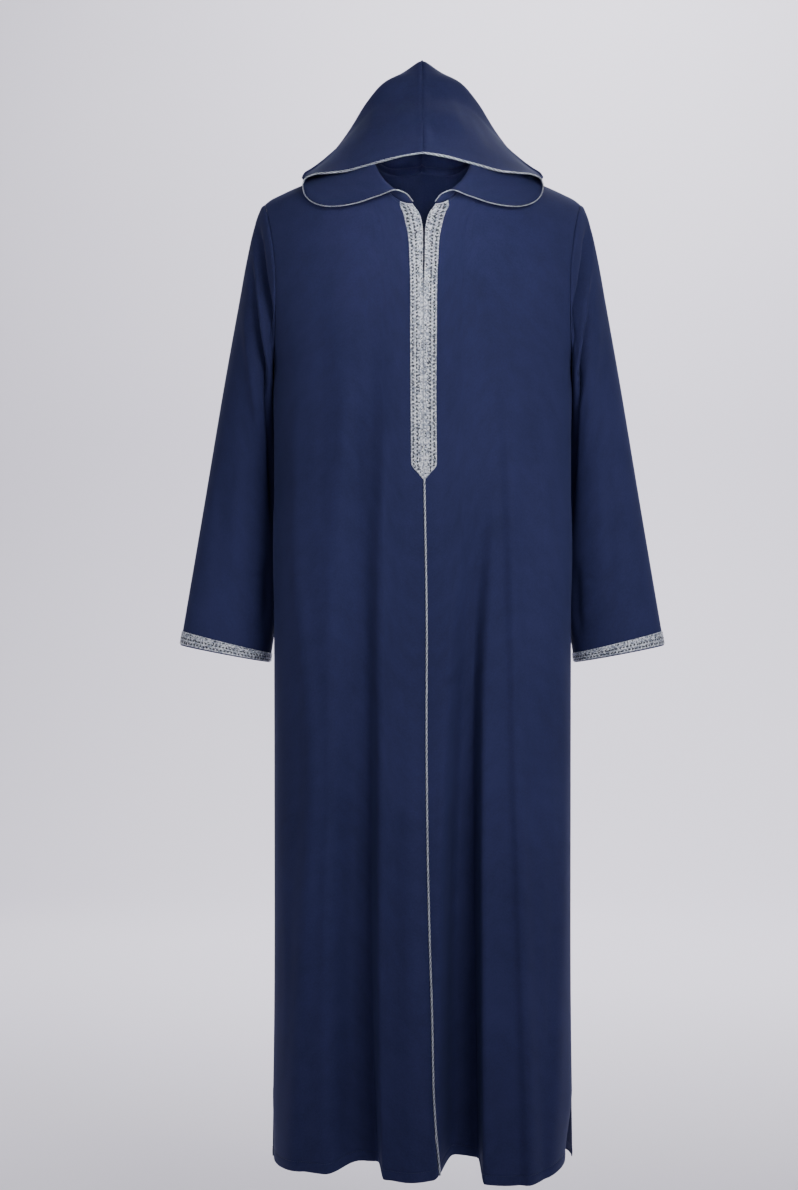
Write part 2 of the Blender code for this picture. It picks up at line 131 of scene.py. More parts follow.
def path(points: Sequence[Row]) -> SmoothCurve:
    """A smooth curve through points in millimetres, read against its length from 0 to 1."""
    metres = np.asarray(points, float) * MM
    lengths = np.concatenate([[0], np.cumsum(np.linalg.norm(np.diff(metres, axis=0), axis=1))])
    return SmoothCurve(lengths / lengths[-1], metres)


def ease(share: Array | float) -> Array:
    """0 to 1 with level ends."""
    share = np.clip(share, 0, 1)
    return share * share * (3 - 2 * share)


def lengths_along(points: Array, axis: int) -> Array:
    """The length run from the first point to each point along one axis of a grid of points."""
    steps = np.linalg.norm(np.diff(points, axis=axis), axis=-1)
    start = np.zeros_like(np.take(steps, [0], axis=axis))
    return np.concatenate([start, np.cumsum(steps, axis=axis)], axis=axis)


def read_at(line: Array, run: Array, places: Array) -> Array:
    """The points of a line at these lengths, given the length at each of its own points."""
    return np.stack([np.interp(places, run, line[:, axis]) for axis in range(3)], axis=-1)


def unit(vectors: Array) -> Array:
    """The same directions, each of length 1."""
    return vectors / np.linalg.norm(vectors, axis=-1, keepdims=True)


def respaced(points: Array, count: int, borders: tuple[Sequence[float], Sequence[float]]) -> Array:
    """Each row of the grid read again at even lengths, with set places near both ends.

    Args:
        points: rows of points, rows x columns x 3.
        count: how many even places lie between the borders.
        borders: millimetres from the first and from the last point, each from 0 upwards.

    Returns:
        The new grid, with as many rows.
    """
    lengths = lengths_along(points, 1)
    first = np.asarray(borders[0]) * MM
    last = np.asarray(borders[1])[::-1] * MM
    rows = []
    for row, run in zip(points, lengths):
        inner = np.linspace(first[-1], run[-1] - last[0], count + 2)[1:-1]
        rows.append(read_at(row, run, np.concatenate([first, inner, run[-1] - last])))
    return np.array(rows)


def line_at(points: Array, distance: float) -> Array:
    """The line across a grid that lies this many millimetres before the last point of each row."""
    return respaced(points, 1, ((0,), (0, distance)))[:, -2]


def normals_of(points: Array, closed: bool, turned: bool) -> Array:
    """The outward directions of a grid surface.

    Args:
        points: lines x points x 3.
        closed: the second axis is a ring whose last point repeats its first.
        turned: the other side is the outside.
    """
    along = np.gradient(points, axis=0)
    if closed:
        ring = points[:, :-1]
        across = np.roll(ring, -1, axis=1) - np.roll(ring, 1, axis=1)
        across = np.concatenate([across, across[:, :1]], axis=1)
    else:
        across = np.gradient(points, axis=1)
    normal = np.cross(along, across)
    normal /= np.maximum(np.linalg.norm(normal, axis=-1, keepdims=True), TINY)
    return -normal if turned else normal


def rolled_in(distance: Array, depth: float, width: float) -> Array:
    """How far the cloth rolls inwards this near a seam or a turned edge, as a quarter round."""
    near = np.clip(1 - distance / width, 0, 1)
    return -depth * (1 - np.sqrt(1 - near * near))


# Creases

CREASE_TAPER = 0.35  # share of its length over which a crease fades at each end
CREASE_SIDE = 0.55  # share of its width at which it has sunk to about a third
EDGE_ON = 1.6  # the larger, the nearer to edge-on cloth a crease still shows


@dataclass(frozen=True)
class Crease:
    """A soft trough (negative) or ridge in the cloth.

    Attributes:
        height: millimetres out of the cloth, negative for a trough.
        width: millimetres to the foot of its side.
        route: its points as (x, z) in millimetres, seen from the front.
        facing: the side of the garment that it lies on.
    """

    height: float
    width: float
    route: tuple[tuple[float, float], ...]
    facing: Facing = Facing.FRONT


def creased(points: Array, normals: Array, creases: Sequence[Crease]) -> Array:
    """How far the creases move each point out of the cloth.

    Args:
        points: the cloth's points.
        normals: its outward directions.
        creases: the creases on this garment.

    Returns:
        One height for each point, in metres.
    """
    x, z = points[..., 0], points[..., 2]
    height = np.zeros_like(x)
    for crease in creases:
        route = np.asarray(crease.route, float) * MM
        run = np.concatenate([[0], np.cumsum(np.linalg.norm(np.diff(route, axis=0), axis=1))])
        nearest = np.full(x.shape, np.inf)
        share = np.zeros_like(x)
        for (x0, z0), (x1, z1), start, length in zip(route, route[1:], run, np.diff(run)):
            t = np.clip(((x - x0) * (x1 - x0) + (z - z0) * (z1 - z0)) / length ** 2, 0, 1)
            away = np.hypot(x - x0 - t * (x1 - x0), z - z0 - t * (z1 - z0))
            closer = away < nearest
            share = np.where(closer, (start + t * length) / run[-1], share)
            nearest = np.minimum(nearest, away)
        taper = ease(share / CREASE_TAPER) * ease((1 - share) / CREASE_TAPER)
        facing = ease(EDGE_ON * crease.facing.value * normals[..., 1])
        shape = np.exp(-(nearest / (crease.width * CREASE_SIDE * MM)) ** 2)
        height += crease.height * MM * shape * taper * facing
    return height


# Meshes

def grid_piece(name: str, points: Array, uv: Array, closed: bool = False,
               turned: bool = False) -> bpy.types.Object:
    """A surface over a grid of points.

    Args:
        name: the piece's name.
        points: lines x points x 3; on a closed grid the last point of a line repeats its first.
        uv: lines x points x 2, in metres of cloth.
        closed: each line is a ring.
        turned: the faces are reversed.

    Returns:
        The new object, linked to the scene.
    """
    along, across = points.shape[0] - 1, points.shape[1] - 1
    mesh = bmesh.new()
    bmesh.ops.create_grid(mesh, x_segments=along, y_segments=across, size=1)
    layer = mesh.loops.layers.uv.new("Cloth")
    places = {}
    for vertex in mesh.verts:
        i = round((vertex.co.x + 1) / 2 * along)
        j = round((vertex.co.y + 1) / 2 * across)
        places[vertex.index] = (i, j)
        vertex.co = points[i, j]
    for face in mesh.faces:
        for loop in face.loops:
            loop[layer].uv = uv[places[loop.vert.index]]
    if closed:
        bmesh.ops.remove_doubles(mesh, verts=mesh.verts, dist=1e-7)
    if turned:
        bmesh.ops.reverse_faces(mesh, faces=mesh.faces)
    return finished_piece(name, mesh)


def finished_piece(name: str, mesh: bmesh.types.BMesh) -> bpy.types.Object:
    """Turns a bmesh into a smooth-shaded object at the origin and frees it."""
    data = bpy.data.meshes.new(name)
    mesh.to_mesh(data)
    mesh.free()
    data.shade_smooth()
    piece = bpy.data.objects.new(name, data)
    bpy.context.scene.collection.objects.link(piece)
    return piece


def walled(piece: bpy.types.Object, material: bpy.types.Material, thickness: float) -> bpy.types.Object:
    """Gives a surface its material and its thickness, inwards.

    Args:
        piece: the surface.
        material: what it is made of.
        thickness: the wall's thickness in metres.

    Returns:
        The same piece.
    """
    piece.data.materials.append(material)
    wall = piece.modifiers.new("Wall", "SOLIDIFY")
    wall.thickness = thickness
    wall.offset = -1
    wall.use_even_offset = False
    return piece


def tube(name: str, centre: Array, sideways: tuple[Array, Array], size: Array, uv: Array,
         turned: bool) -> bpy.types.Object:
    """Sweeps a ring along a line of points and fills its two ends.

    Args:
        name: the piece's name.
        centre: the line, n x 3.
        sideways: two directions across it at each point.
        size: the ring's radius, n x points round it.
        uv: the map, with size's shape and a last axis of 2.
        turned: the faces are reversed.

    Returns:
        The new object.
    """
    angle = np.linspace(0, 2 * np.pi, size.shape[1])
    first, second = sideways
    grid = centre[:, None] + size[..., None] * (np.cos(angle)[None, :, None] * first[:, None]
                                                + np.sin(angle)[None, :, None] * second[:, None])
    grid[:, -1] = grid[:, 0]
    piece = grid_piece(name, grid, uv, True, turned)
    mesh = bmesh.new()
    mesh.from_mesh(piece.data)
    bmesh.ops.holes_fill(mesh, edges=[edge for edge in mesh.edges if edge.is_boundary], sides=0)
    bmesh.ops.recalc_face_normals(mesh, faces=mesh.faces)
    mesh.to_mesh(piece.data)
    mesh.free()
    piece.data.shade_smooth()
    return piece


def cloth_uv(points: Array, along_first: bool) -> Array:
    """Metres of cloth from the grid's first corner, as (across the garment, down it).

    Args:
        points: the grid.
        along_first: the first axis runs across the garment, and the second down it.
    """
    first = lengths_along(points, 0)
    second = lengths_along(points, 1)
    first = first - first[-1:] / 2
    return np.stack([first, second] if along_first else [second, first], axis=-1)


# Finishes

def linear(hex_colour: str) -> tuple[float, float, float, float]:
    """An sRGB hex colour as Blender's linear one."""
    channels = [int(hex_colour[i:i + 2], 16) / 255 for i in (1, 3, 5)]
    return (*[c / 12.92 if c <= 0.04045 else ((c + 0.055) / 1.055) ** 2.4 for c in channels], 1.0)


def add_node(tree: bpy.types.NodeTree, kind: str, inputs: dict | None = None,
             stops: Sequence[tuple[float, str]] = (), **settings) -> bpy.types.Node:
    """Adds a node to a tree.

    Args:
        tree: the material's node tree.
        kind: Blender's name for the node.
        inputs: for each named or numbered input its value, the socket that feeds it, or the node whose
            first output feeds it.
        stops: the (place, hex colour) of each stop, on a node that has a colour ramp.
        settings: the node's own properties.

    Returns:
        The new node.
    """
    node = tree.nodes.new(kind)
    for key, value in settings.items():
        setattr(node, key, value)
    for key, value in (inputs or {}).items():
        source = value.outputs[0] if isinstance(value, bpy.types.Node) else value
        if isinstance(source, bpy.types.NodeSocket):
            tree.links.new(source, node.inputs[key])
        else:
            node.inputs[key].default_value = source
    elements = node.color_ramp.elements if stops else []
    while len(elements) < len(stops):
        elements.new(0.5)
    for element, (place, colour) in zip(elements, stops):
        element.position = place
        element.color = linear(colour)
    return node


def new_material(name: str) -> tuple[bpy.types.Material, bpy.types.NodeTree]:
    """An empty node material and its tree."""
    material = bpy.data.materials.new(name)
    material.use_nodes = True
    material.node_tree.nodes.clear()
    return material, material.node_tree


@dataclass(frozen=True)
class NavySuiting:
    """Fine navy suiting, a dense twill of matt wool-like yarn: even colour, a faint bloom, no shine.

    Attributes:
        ribs_show, grain_shows: how much the twill's ribs and the weave's grain change the colour.
        tone_scale: brings their sum back to the colour ramp.
    """

    name: str = "navy_twill_suiting"
    yarn: str = "#313560"
    shaded_yarn: str = "#25294D"
    twill_pitch: float = 1.9  # mm; the real ribs are 0.4 mm apart, drawn as coarse as it takes to show
    slub_size: float = 30.0  # mm
    grain_size: float = 2.6  # mm; the real weave is finer, drawn as coarse as it takes to show
    roughness: float = 0.82
    ribs_show: float = 0.10
    grain_shows: float = 0.8
    tone_scale: float = 0.36
    twill_angle: float = 63.0  # degrees

    def material(self) -> bpy.types.Material:
        """Builds the node material."""
        material, tree = new_material(self.name)
        uv = add_node(tree, "ShaderNodeUVMap", uv_map="Cloth")
        place = add_node(tree, "ShaderNodeTexCoord")
        turned = add_node(tree, "ShaderNodeMapping", {
            "Vector": uv.outputs[0], "Rotation": (0, 0, math.radians(self.twill_angle))})
        ribs = add_node(tree, "ShaderNodeTexWave", {
            "Vector": turned.outputs[0], "Scale": 0.314 / (self.twill_pitch * MM), "Distortion": 1.2,
            "Detail": 2.0, "Detail Scale": 2.0}, bands_direction="X")
        slubs = add_node(tree, "ShaderNodeTexNoise", {
            "Vector": uv.outputs[0], "Scale": 1 / (self.slub_size * MM), "Detail": 5.0, "Roughness": 0.65})
        clouds = add_node(tree, "ShaderNodeTexNoise", {
            "Vector": place.outputs["Object"], "Scale": 5.0, "Detail": 2.0, "Roughness": 0.5})
        grain = add_node(tree, "ShaderNodeTexNoise", {
            "Vector": uv.outputs[0], "Scale": 1 / (self.grain_size * MM), "Detail": 2.0})
        mixed = add_node(tree, "ShaderNodeMath", {
            0: slubs.outputs["Fac"], 1: clouds.outputs["Fac"]}, operation="ADD")
        with_ribs = add_node(tree, "ShaderNodeMath", {
            0: ribs.outputs["Fac"], 1: self.ribs_show, 2: mixed.outputs[0]}, operation="MULTIPLY_ADD")
        with_grain = add_node(tree, "ShaderNodeMath", {
            0: grain.outputs["Fac"], 1: self.grain_shows, 2: with_ribs.outputs[0]}, operation="MULTIPLY_ADD")
        tone = add_node(tree, "ShaderNodeMath", {
            0: with_grain.outputs[0], 1: self.tone_scale}, operation="MULTIPLY")
        colour = add_node(tree, "ShaderNodeValToRGB", {"Fac": tone}, (
            (0.35, self.shaded_yarn), (0.68, self.yarn)))
        heights = add_node(tree, "ShaderNodeMath", {0: ribs.outputs["Fac"], 1: 0.5, 2: grain.outputs["Fac"]},
                           operation="MULTIPLY_ADD")
        bump = add_node(tree, "ShaderNodeBump", {
            "Height": heights.outputs[0], "Strength": 0.35, "Distance": 0.15 * MM})
        worn = add_node(tree, "ShaderNodeMapRange", {
            "Value": slubs.outputs["Fac"], "To Min": self.roughness - 0.08, "To Max": self.roughness + 0.06})
        shader = add_node(tree, "ShaderNodeBsdfPrincipled", {
            "Base Color": colour.outputs["Color"], "Roughness": worn.outputs[0], "Normal": bump.outputs[0],
            "IOR": 1.5, "Specular IOR Level": 0.15, "Sheen Weight": 0.1, "Sheen Roughness": 0.45,
            "Sheen Tint": linear("#8FA0D8")})
        add_node(tree, "ShaderNodeOutputMaterial", {"Surface": shader.outputs[0]})
        return material


@dataclass(frozen=True)
class SilverBraid:
    """Woven braid of metallised thread over a navy ground: bright floats with painted shade towards their
    edges, dark gaps, satin glints.
    """

    name: str = "silver_thread_braid"
    thread: str = "#F3F6FF"
    # The thread's darkest tone, for darker floats and for the painted shade at each float's edge
    shaded_thread: str = "#99A1B5"
    ground: str = "#1B2136"
    band_width: float = 19.0  # mm
    float_size: float = 1.9  # mm; real floats are 0.6 mm, drawn as coarse as it takes to show
    dot_pitch: float = 5.2  # mm between the navy gaps along a row
    dot_half_width: float = 0.075  # share of the band
    dot_stretch: float = 3.1  # the larger, the shorter a gap is down the band
    dot_rows: tuple[tuple[float, float], ...] = ((0.505, 0.0), (0.80, 0.5))  # place across, shift in pitches
    # How much of the ground shows between the floats, across the band from the slit (0) to the outer cord (1)
    gap_shares: tuple[tuple[float, float], ...] = (
        (0.0, 0.0), (0.04, 0.0), (0.06, 0.17), (0.20, 0.17), (0.22, 0.0), (0.26, 0.0), (0.28, 0.2),
        (0.44, 0.22), (0.45, 0.15), (0.57, 0.15), (0.59, 0.0), (0.67, 0.0), (0.69, 0.22), (0.91, 0.2),
        (0.93, 0.0), (1.0, 0.0))

    def material(self) -> bpy.types.Material:
        """Builds the node material. The map runs across the band from 0 to 1 and down it in metres."""
        material, tree = new_material(self.name)
        uv = add_node(tree, "ShaderNodeUVMap", uv_map="Cloth")
        add = partial(add_node, tree)
        split = add("ShaderNodeSeparateXYZ", {0: uv})
        across, down = split.outputs[0], split.outputs[1]
        metres = add("ShaderNodeMapping", {"Vector": uv, "Scale": (self.band_width * MM, 1, 1)})
        # Each float is a cell of its own, with its own brightness and chance of letting the ground show.
        floats = add("ShaderNodeTexVoronoi", {
            "Vector": metres, "Scale": 1 / (self.float_size * MM), "Randomness": 0.55})
        chances = add("ShaderNodeSeparateXYZ", {0: floats.outputs["Color"]})
        density = add("ShaderNodeValToRGB", {"Fac": across}, [
            (place, "#" + f"{round(255 * self.encoded(share)):02X}" * 3) for place, share in self.gap_shares])
        dark = add("ShaderNodeMath", {0: density, 1: chances}, operation="GREATER_THAN")
        # Rows of round navy gaps run down the band as well.
        for middle, shift in self.dot_rows:
            pitches = add("ShaderNodeMath", {0: down, 1: 1 / (self.dot_pitch * MM), 2: shift},
                          operation="MULTIPLY_ADD")
            turn = add("ShaderNodeMath", {0: pitches}, operation="FRACT")
            past = add("ShaderNodeMath", {0: turn, 1: 0.5}, operation="SUBTRACT")
            along = add("ShaderNodeMath", {0: past, 1: self.dot_stretch}, operation="MULTIPLY")
            off = add("ShaderNodeMath", {0: across, 1: middle}, operation="SUBTRACT")
            sideways = add("ShaderNodeMath", {0: off, 1: self.dot_half_width}, operation="DIVIDE")
            first = add("ShaderNodeMath", {0: along, 1: along}, operation="MULTIPLY")
            square = add("ShaderNodeMath", {0: sideways, 1: sideways, 2: first}, operation="MULTIPLY_ADD")
            gap = add("ShaderNodeMath", {0: square, 1: 1.0}, operation="LESS_THAN")
            dark = add("ShaderNodeMath", {0: dark, 1: gap}, operation="MAXIMUM")
        # Each float is painted darker towards its edge: painted shade where the thread bends down into the
        # weave.
        edge = add("ShaderNodeMath", {0: floats, 1: 0.5}, operation="MULTIPLY")
        tone = add("ShaderNodeMath", {0: chances.outputs[1], 1: edge}, operation="SUBTRACT")
        thread = add("ShaderNodeValToRGB", {"Fac": tone}, ((0.0, self.shaded_thread), (0.5, self.thread)))
        share = add("ShaderNodeMath", {0: dark, 1: 0.93}, operation="MULTIPLY")
        # Inputs 6 and 7 are the Mix node's two colours.
        colour = add("ShaderNodeMix", {0: share, 6: thread, 7: linear(self.ground)}, data_type="RGBA")
        height = add("ShaderNodeMath", {0: tone, 1: dark}, operation="SUBTRACT")
        bump = add("ShaderNodeBump", {"Height": height, "Strength": 0.7, "Distance": 0.4 * MM})
        shader = add_node(tree, "ShaderNodeBsdfPrincipled", {
            "Base Color": colour.outputs[2], "Roughness": 0.42, "Metallic": 0.15, "Normal": bump.outputs[0]})
        add_node(tree, "ShaderNodeOutputMaterial", {"Surface": shader.outputs[0]})
        return material

    @staticmethod
    def encoded(share: float) -> float:
        """A plain share as the sRGB level that the ramp turns back into it."""
        return 12.92 * share if share <= 0.0031308 else 1.055 * share ** (1 / 2.4) - 0.055


@dataclass(frozen=True)
class SilverCord:
    """Three-ply cord of metallised thread, with a painted highlight along each ply and painted shade, grey,
    in the valleys between them.
    """

    name: str = "silver_thread_cord"
    thread: str = "#D3D8E4"
    # The painted shade in the valleys between the plies
    valley: str = "#343B52"
    fibre_size: float = 2.2  # mm; real fibres are finer, drawn as coarse as it takes to show

    def material(self) -> bpy.types.Material:
        """Builds the node material. The map's first number is 0 in a valley and 1 on a ply; it paints shade
        in the valleys and a highlight along the plies.
        """
        material, tree = new_material(self.name)
        uv = add_node(tree, "ShaderNodeUVMap", uv_map="Cloth")
        split = add_node(tree, "ShaderNodeSeparateXYZ", {0: uv.outputs[0]})
        place = add_node(tree, "ShaderNodeTexCoord")
        fibres = add_node(tree, "ShaderNodeTexNoise", {
            "Vector": place.outputs["Object"], "Scale": 1 / (self.fibre_size * MM), "Detail": 2.0})
        tone = add_node(tree, "ShaderNodeMath", {0: fibres.outputs["Fac"], 1: 1.6, 2: split.outputs[0]},
                        operation="MULTIPLY_ADD")
        # Painted highlight along each ply's crest, painted shade in the valleys between the plies.
        painted_ply_shading = add_node(tree, "ShaderNodeMath", {0: tone.outputs[0], 1: 0.5}, operation="MULTIPLY")
        colour = add_node(tree, "ShaderNodeValToRGB", {"Fac": painted_ply_shading}, (
            (0.38, self.valley), (0.75, self.thread)))
        bump = add_node(tree, "ShaderNodeBump", {
            "Height": fibres.outputs["Fac"], "Strength": 0.6, "Distance": 0.2 * MM})
        shader = add_node(tree, "ShaderNodeBsdfPrincipled", {
            "Base Color": colour.outputs["Color"], "Roughness": 0.45, "Metallic": 0.3,
            "Normal": bump.outputs[0]})
        add_node(tree, "ShaderNodeOutputMaterial", {"Surface": shader.outputs[0]})
        return material


@dataclass(frozen=True)
class SewingThread:
    """Spun navy polyester thread: a shade lighter than the cloth, with a slight gloss."""

    name: str = "navy_sewing_thread"
    colour: str = "#2B3664"
    shaded: str = "#1B2342"

    def material(self) -> bpy.types.Material:
        """Builds the node material."""
        material, tree = new_material(self.name)
        place = add_node(tree, "ShaderNodeTexCoord")
        fibres = add_node(tree, "ShaderNodeTexNoise", {"Vector": place.outputs["Object"], "Scale": 2500.0})
        colour = add_node(tree, "ShaderNodeValToRGB", {"Fac": fibres}, (
            (0.3, self.shaded), (0.7, self.colour)))
        shader = add_node(tree, "ShaderNodeBsdfPrincipled", {
            "Base Color": colour.outputs["Color"], "Roughness": 0.6})
        add_node(tree, "ShaderNodeOutputMaterial", {"Surface": shader.outputs[0]})
        return material


# The body of the garment

@dataclass(frozen=True)
class Fold:
    """A long fold of the skirt.

    Attributes:
        depth: millimetres inwards at the hem; a ridge is negative.
        right_flank: half width of the flank on -X, where the fold starts and at the hem.
        left_flank: the same on +X.
        floor: half width of its level floor at the hem.
        start: the height where it starts.
        route: its path from there, as (height, x).
    """

    depth: float
    right_flank: tuple[float, float]
    left_flank: tuple[float, float]
    floor: float
    start: float
    route: tuple[tuple[float, float], ...]

    def depth_at(self, x: Array, z: Array, hem: float) -> Array:
        """How far the fold moves the cloth inwards at this place, in metres."""
        grown = np.clip((self.start * MM - z) / (self.start * MM - hem), 0, 1)
        off = x - table(self.route)(z)
        right, left = ((start + (end - start) * grown) * MM
                       for start, end in (self.right_flank, self.left_flank))
        level = self.floor * grown * MM
        away = np.clip((np.abs(off) - level) / (np.where(off < 0, right, left) - level), 0, 1)
        return self.depth * MM * ease(grown ** 0.8) * 0.5 * (1 + np.cos(np.pi * away))


@dataclass(frozen=True)
class Body:
    """The hollow body: rounded sections that close over the shoulders, with the long folds in them."""

    armpit: float = -310 * MM
    hem: float = -1438 * MM
    shoulder_round: float = 160 * MM
    squareness: float = 2.4
    neck_half_width: float = 75 * MM
    front_neck_turn: float = 1.234
    back_neck_turn: float = 0.705
    shoulder_level: float = -68 * MM
    seam_gap: float = 0.04 * MM
    side_slit_top: float = -1334 * MM
    side_slit_spread: float = 4 * MM
    hand_slit: tuple[float, float] = (-640 * MM, -488 * MM)
    hand_slit_spread: float = 1.0 * MM
    hand_slit_bulge: float = 1.5 * MM
    right_edge_swing: float = 3 * MM
    left_edge_swing: float = 12 * MM
    hem_lift: float = 0.33
    passes: int = 12  # rounds in which a point's height and its x settle on each other
    half_widths: SmoothCurve = table(((-1445, 216.5), (-1250, 213.5), (-900, 213), (-600, 213.5),
                                      (-400, 213.5), (-330, 214.3), (-310, 213.5), (-260, 222),
                                      (-180, 236), (-68, 245), (40, 245)))
    front_depths: SmoothCurve = table(((-1445, 158), (-1100, 148), (-700, 143), (-350, 142), (-200, 134),
                                       (-85, 113), (40, 96)))
    back_depths: SmoothCurve = table(((-1445, 148), (-1100, 134), (-700, 124), (-400, 124), (-250, 128),
                                      (-120, 122), (40, 106)))
    shoulder_line: SmoothCurve = table(((0, 30), (75, 0), (130, -22), (170, -38.5), (188, -46), (204, -53.5),
                                        (218, -60.5), (228, -68)))
    armhole: SmoothCurve = table(((-310, 213.5), (-280, 211), (-240, 208.5), (-164, 209), (-131, 213),
                                  (-95, 219.5), (-66, 227.5)))
    front_seam: SmoothCurve = table(((-1445, 23), (-1360, 16), (-1200, 11.5), (-1090, 8), (-1000, 6),
                                     (-860, 4.3), (-640, 4.3), (-510, 2), (-470, 1.2), (0, 1.5)))
    neck_slit: SmoothCurve = table(((-1445, 0.2), (-1200, 0.05), (-300, 0.05), (-250, 0.05), (-230, 0.1),
                                    (-200, 0.3), (-165, 1.2), (-140, 1.2), (-112, 2.6), (-94, 8), (-84, 15),
                                    (-70, 18), (40, 18)))
    front_hem: SmoothCurve = table(((-220, -1437), (-190, -1434), (-150, -1433), (-80, -1435), (-25, -1436),
                                    (60, -1438), (90, -1444), (129, -1448), (165, -1446), (200, -1438),
                                    (220, -1437)))
    front_folds: tuple[Fold, ...] = (
        Fold(46, (38, 66), (34, 19), 11, -190, ((-240, -64), (-490, -84), (-880, -84), (-1290, -80),
                                                (-1440, -74))),
        Fold(66, (26, 48), (24, 22), 16, -400, ((-400, 90), (-700, 66), (-1020, 60), (-1150, 60),
                                                (-1440, 61))),
        Fold(-13, (14, 22), (16, 26), 0, -300, ((-360, -176), (-507, -180), (-860, -158), (-1110, -170),
                                               (-1440, -190))),
        Fold(-14, (10, 16), (15, 24), 0, -180, ((-200, 104), (-507, 120), (-860, 130), (-1440, 150))),
        Fold(-9, (12, 20), (11, 18), 0, -200, ((-214, 138), (-500, 175), (-690, 197), (-1440, 186))),
        Fold(-9, (20, 30), (22, 34), 0, -700, ((-700, -18), (-1440, -18))),
    )
    back_folds: tuple[Fold, ...] = (
        Fold(34, (28, 46), (20, 34), 0, -420, ((-420, -92), (-1440, -104))),
        Fold(40, (24, 40), (29, 48), 0, -360, ((-360, 8), (-1440, -6))),
        Fold(30, (20, 34), (28, 46), 0, -500, ((-500, 84), (-1440, 102))),
    )

    def slit_share(self, z: Array) -> Array:
        """How far down the side slit a height lies, 0 at its top and 1 at the hem."""
        return ease((self.side_slit_top - z) / (self.side_slit_top - self.hem))

    def hand_share(self, z: Array) -> Array:
        """How far into the hand slit a height lies, 1 at its middle and 0 past its ends."""
        low, high = self.hand_slit
        return np.where((z > low) & (z < high), np.sin(np.pi * (z - low) / (high - low)), 0)

    def half_width(self, z: Array, sign: Array | int, facing: Facing) -> Array:
        """Half the body's width on one side: more at the hand slit, less in front beside the side slit."""
        swing = np.where(np.asarray(sign) > 0, self.left_edge_swing, self.right_edge_swing)
        swing = swing * self.slit_share(z) if facing is Facing.FRONT else 0
        return self.half_widths(z) + self.hand_slit_bulge * self.hand_share(z) - swing

    def edge_x(self, z: Array, sign: Array | int, facing: Facing) -> Array:
        """How far from the middle a panel ends: at the armhole, or at the side seam below it."""
        return np.where(z > self.armpit, self.armhole(z), self.half_width(z, sign, facing))

    def side_gap(self, z: Array) -> Array:
        """Half the gap between front and back at the side: a seam, the hand slit or the side slit."""
        hand = self.hand_slit_spread * self.hand_share(z)
        return self.seam_gap / 2 + hand + self.side_slit_spread * self.slit_share(z)

    def fold_depth(self, x: Array, z: Array, facing: Facing) -> Array:
        """How far the long folds move the cloth inwards."""
        folds = self.front_folds if facing is Facing.FRONT else self.back_folds
        return sum(fold.depth_at(x, z, self.hem) for fold in folds)

    def surface_y(self, x: Array, z: Array, facing: Facing) -> Array:
        """The cloth's outer face at this place."""
        share = np.minimum(np.abs(x) / self.half_width(z, np.sign(x), facing), 1)
        flat = (1 - share ** self.squareness) ** (1 / self.squareness)
        drop = np.maximum(self.shoulder_line(np.abs(x)) - z, 0)
        turn = np.arccos(np.maximum(1 - drop / self.shoulder_round, 0))
        depths = self.front_depths if facing is Facing.FRONT else self.back_depths
        away = depths(z) * flat * np.sin(turn) - self.fold_depth(x, z, facing) * flat
        away = away + self.side_gap(z) * np.maximum(share ** 8, (1.8 + 2 * share ** 8) * (1 - np.sin(turn)))
        return facing.value * away

    def hem_height(self, x: Array, facing: Facing) -> Array:
        """The hem rises where a valley draws it in, and keeps its line under a ridge."""
        level = self.front_hem(x) if facing is Facing.FRONT else self.hem
        return level + self.hem_lift * np.maximum(self.fold_depth(x, np.asarray(self.hem), facing), -3 * MM)

    def neck_turn(self, x: Array, facing: Facing) -> Array:
        """How far round the shoulder the neckline lies at this distance from the middle."""
        share = np.minimum(np.abs(x) / self.neck_half_width, 1)
        full = self.front_neck_turn if facing is Facing.FRONT else self.back_neck_turn
        return full * (1 - share ** 2.2) ** (1 / 2.2)

    def yoke_height(self, x: Array, row: Array, facing: Facing) -> Array:
        """The height on a row between the top edge (0) and the level of the underarm (1)."""
        top = self.shoulder_line(np.abs(x))
        start = self.shoulder_round * (1 - np.cos(self.neck_turn(x, facing)))
        return top - start - (top - start - self.armpit) * (1 - np.cos(np.pi * row)) / 2

    def points(self, place_x: Callable[[Array], Array], row: Array, facing: Facing) -> Array:
        """Points of the body on given rows.

        Args:
            place_x: gives each point's x from its height.
            row: 0 at the top edge, 1 at the underarm, 2 at the hem.
            facing: the front or the back.

        Returns:
            The points, with row's shape and a last axis of 3.
        """
        z = np.where(row < 1, self.yoke_height(np.asarray(self.neck_half_width), row, facing), self.armpit)
        x = np.zeros_like(row)
        for _ in range(self.passes):
            x = place_x(z)
            lower = self.armpit + (self.hem_height(x, facing) - self.armpit) * (row - 1)
            z = np.where(row < 1, self.yoke_height(x, np.minimum(row, 1), facing), lower)
        return np.stack([x, self.surface_y(x, z, facing), z], axis=-1)

    def slit_edge(self, side: Side) -> Callable[[Array], Array]:
        """The x of a front panel's inner edge, against the height."""
        return lambda z: self.front_seam(z) + side.value * self.neck_slit(z)


@dataclass(frozen=True)
class ColumnSpacing:
    """How the frame spaces a panel's columns, so that the hood meets the neckline at the same places."""

    count: int
    neck_columns: int

    def share(self, column: Array, neck_share: float) -> Array:
        """The share of the panel's width at a column, which may be a fraction."""
        power = math.log(neck_share) / math.log(math.sin(math.pi / 2 * self.neck_columns / self.count))
        return np.sin(np.pi / 2 * column / self.count) ** power


FRONT_SPACING = ColumnSpacing(20, 4)
BACK_SPACING = ColumnSpacing(14, 3)

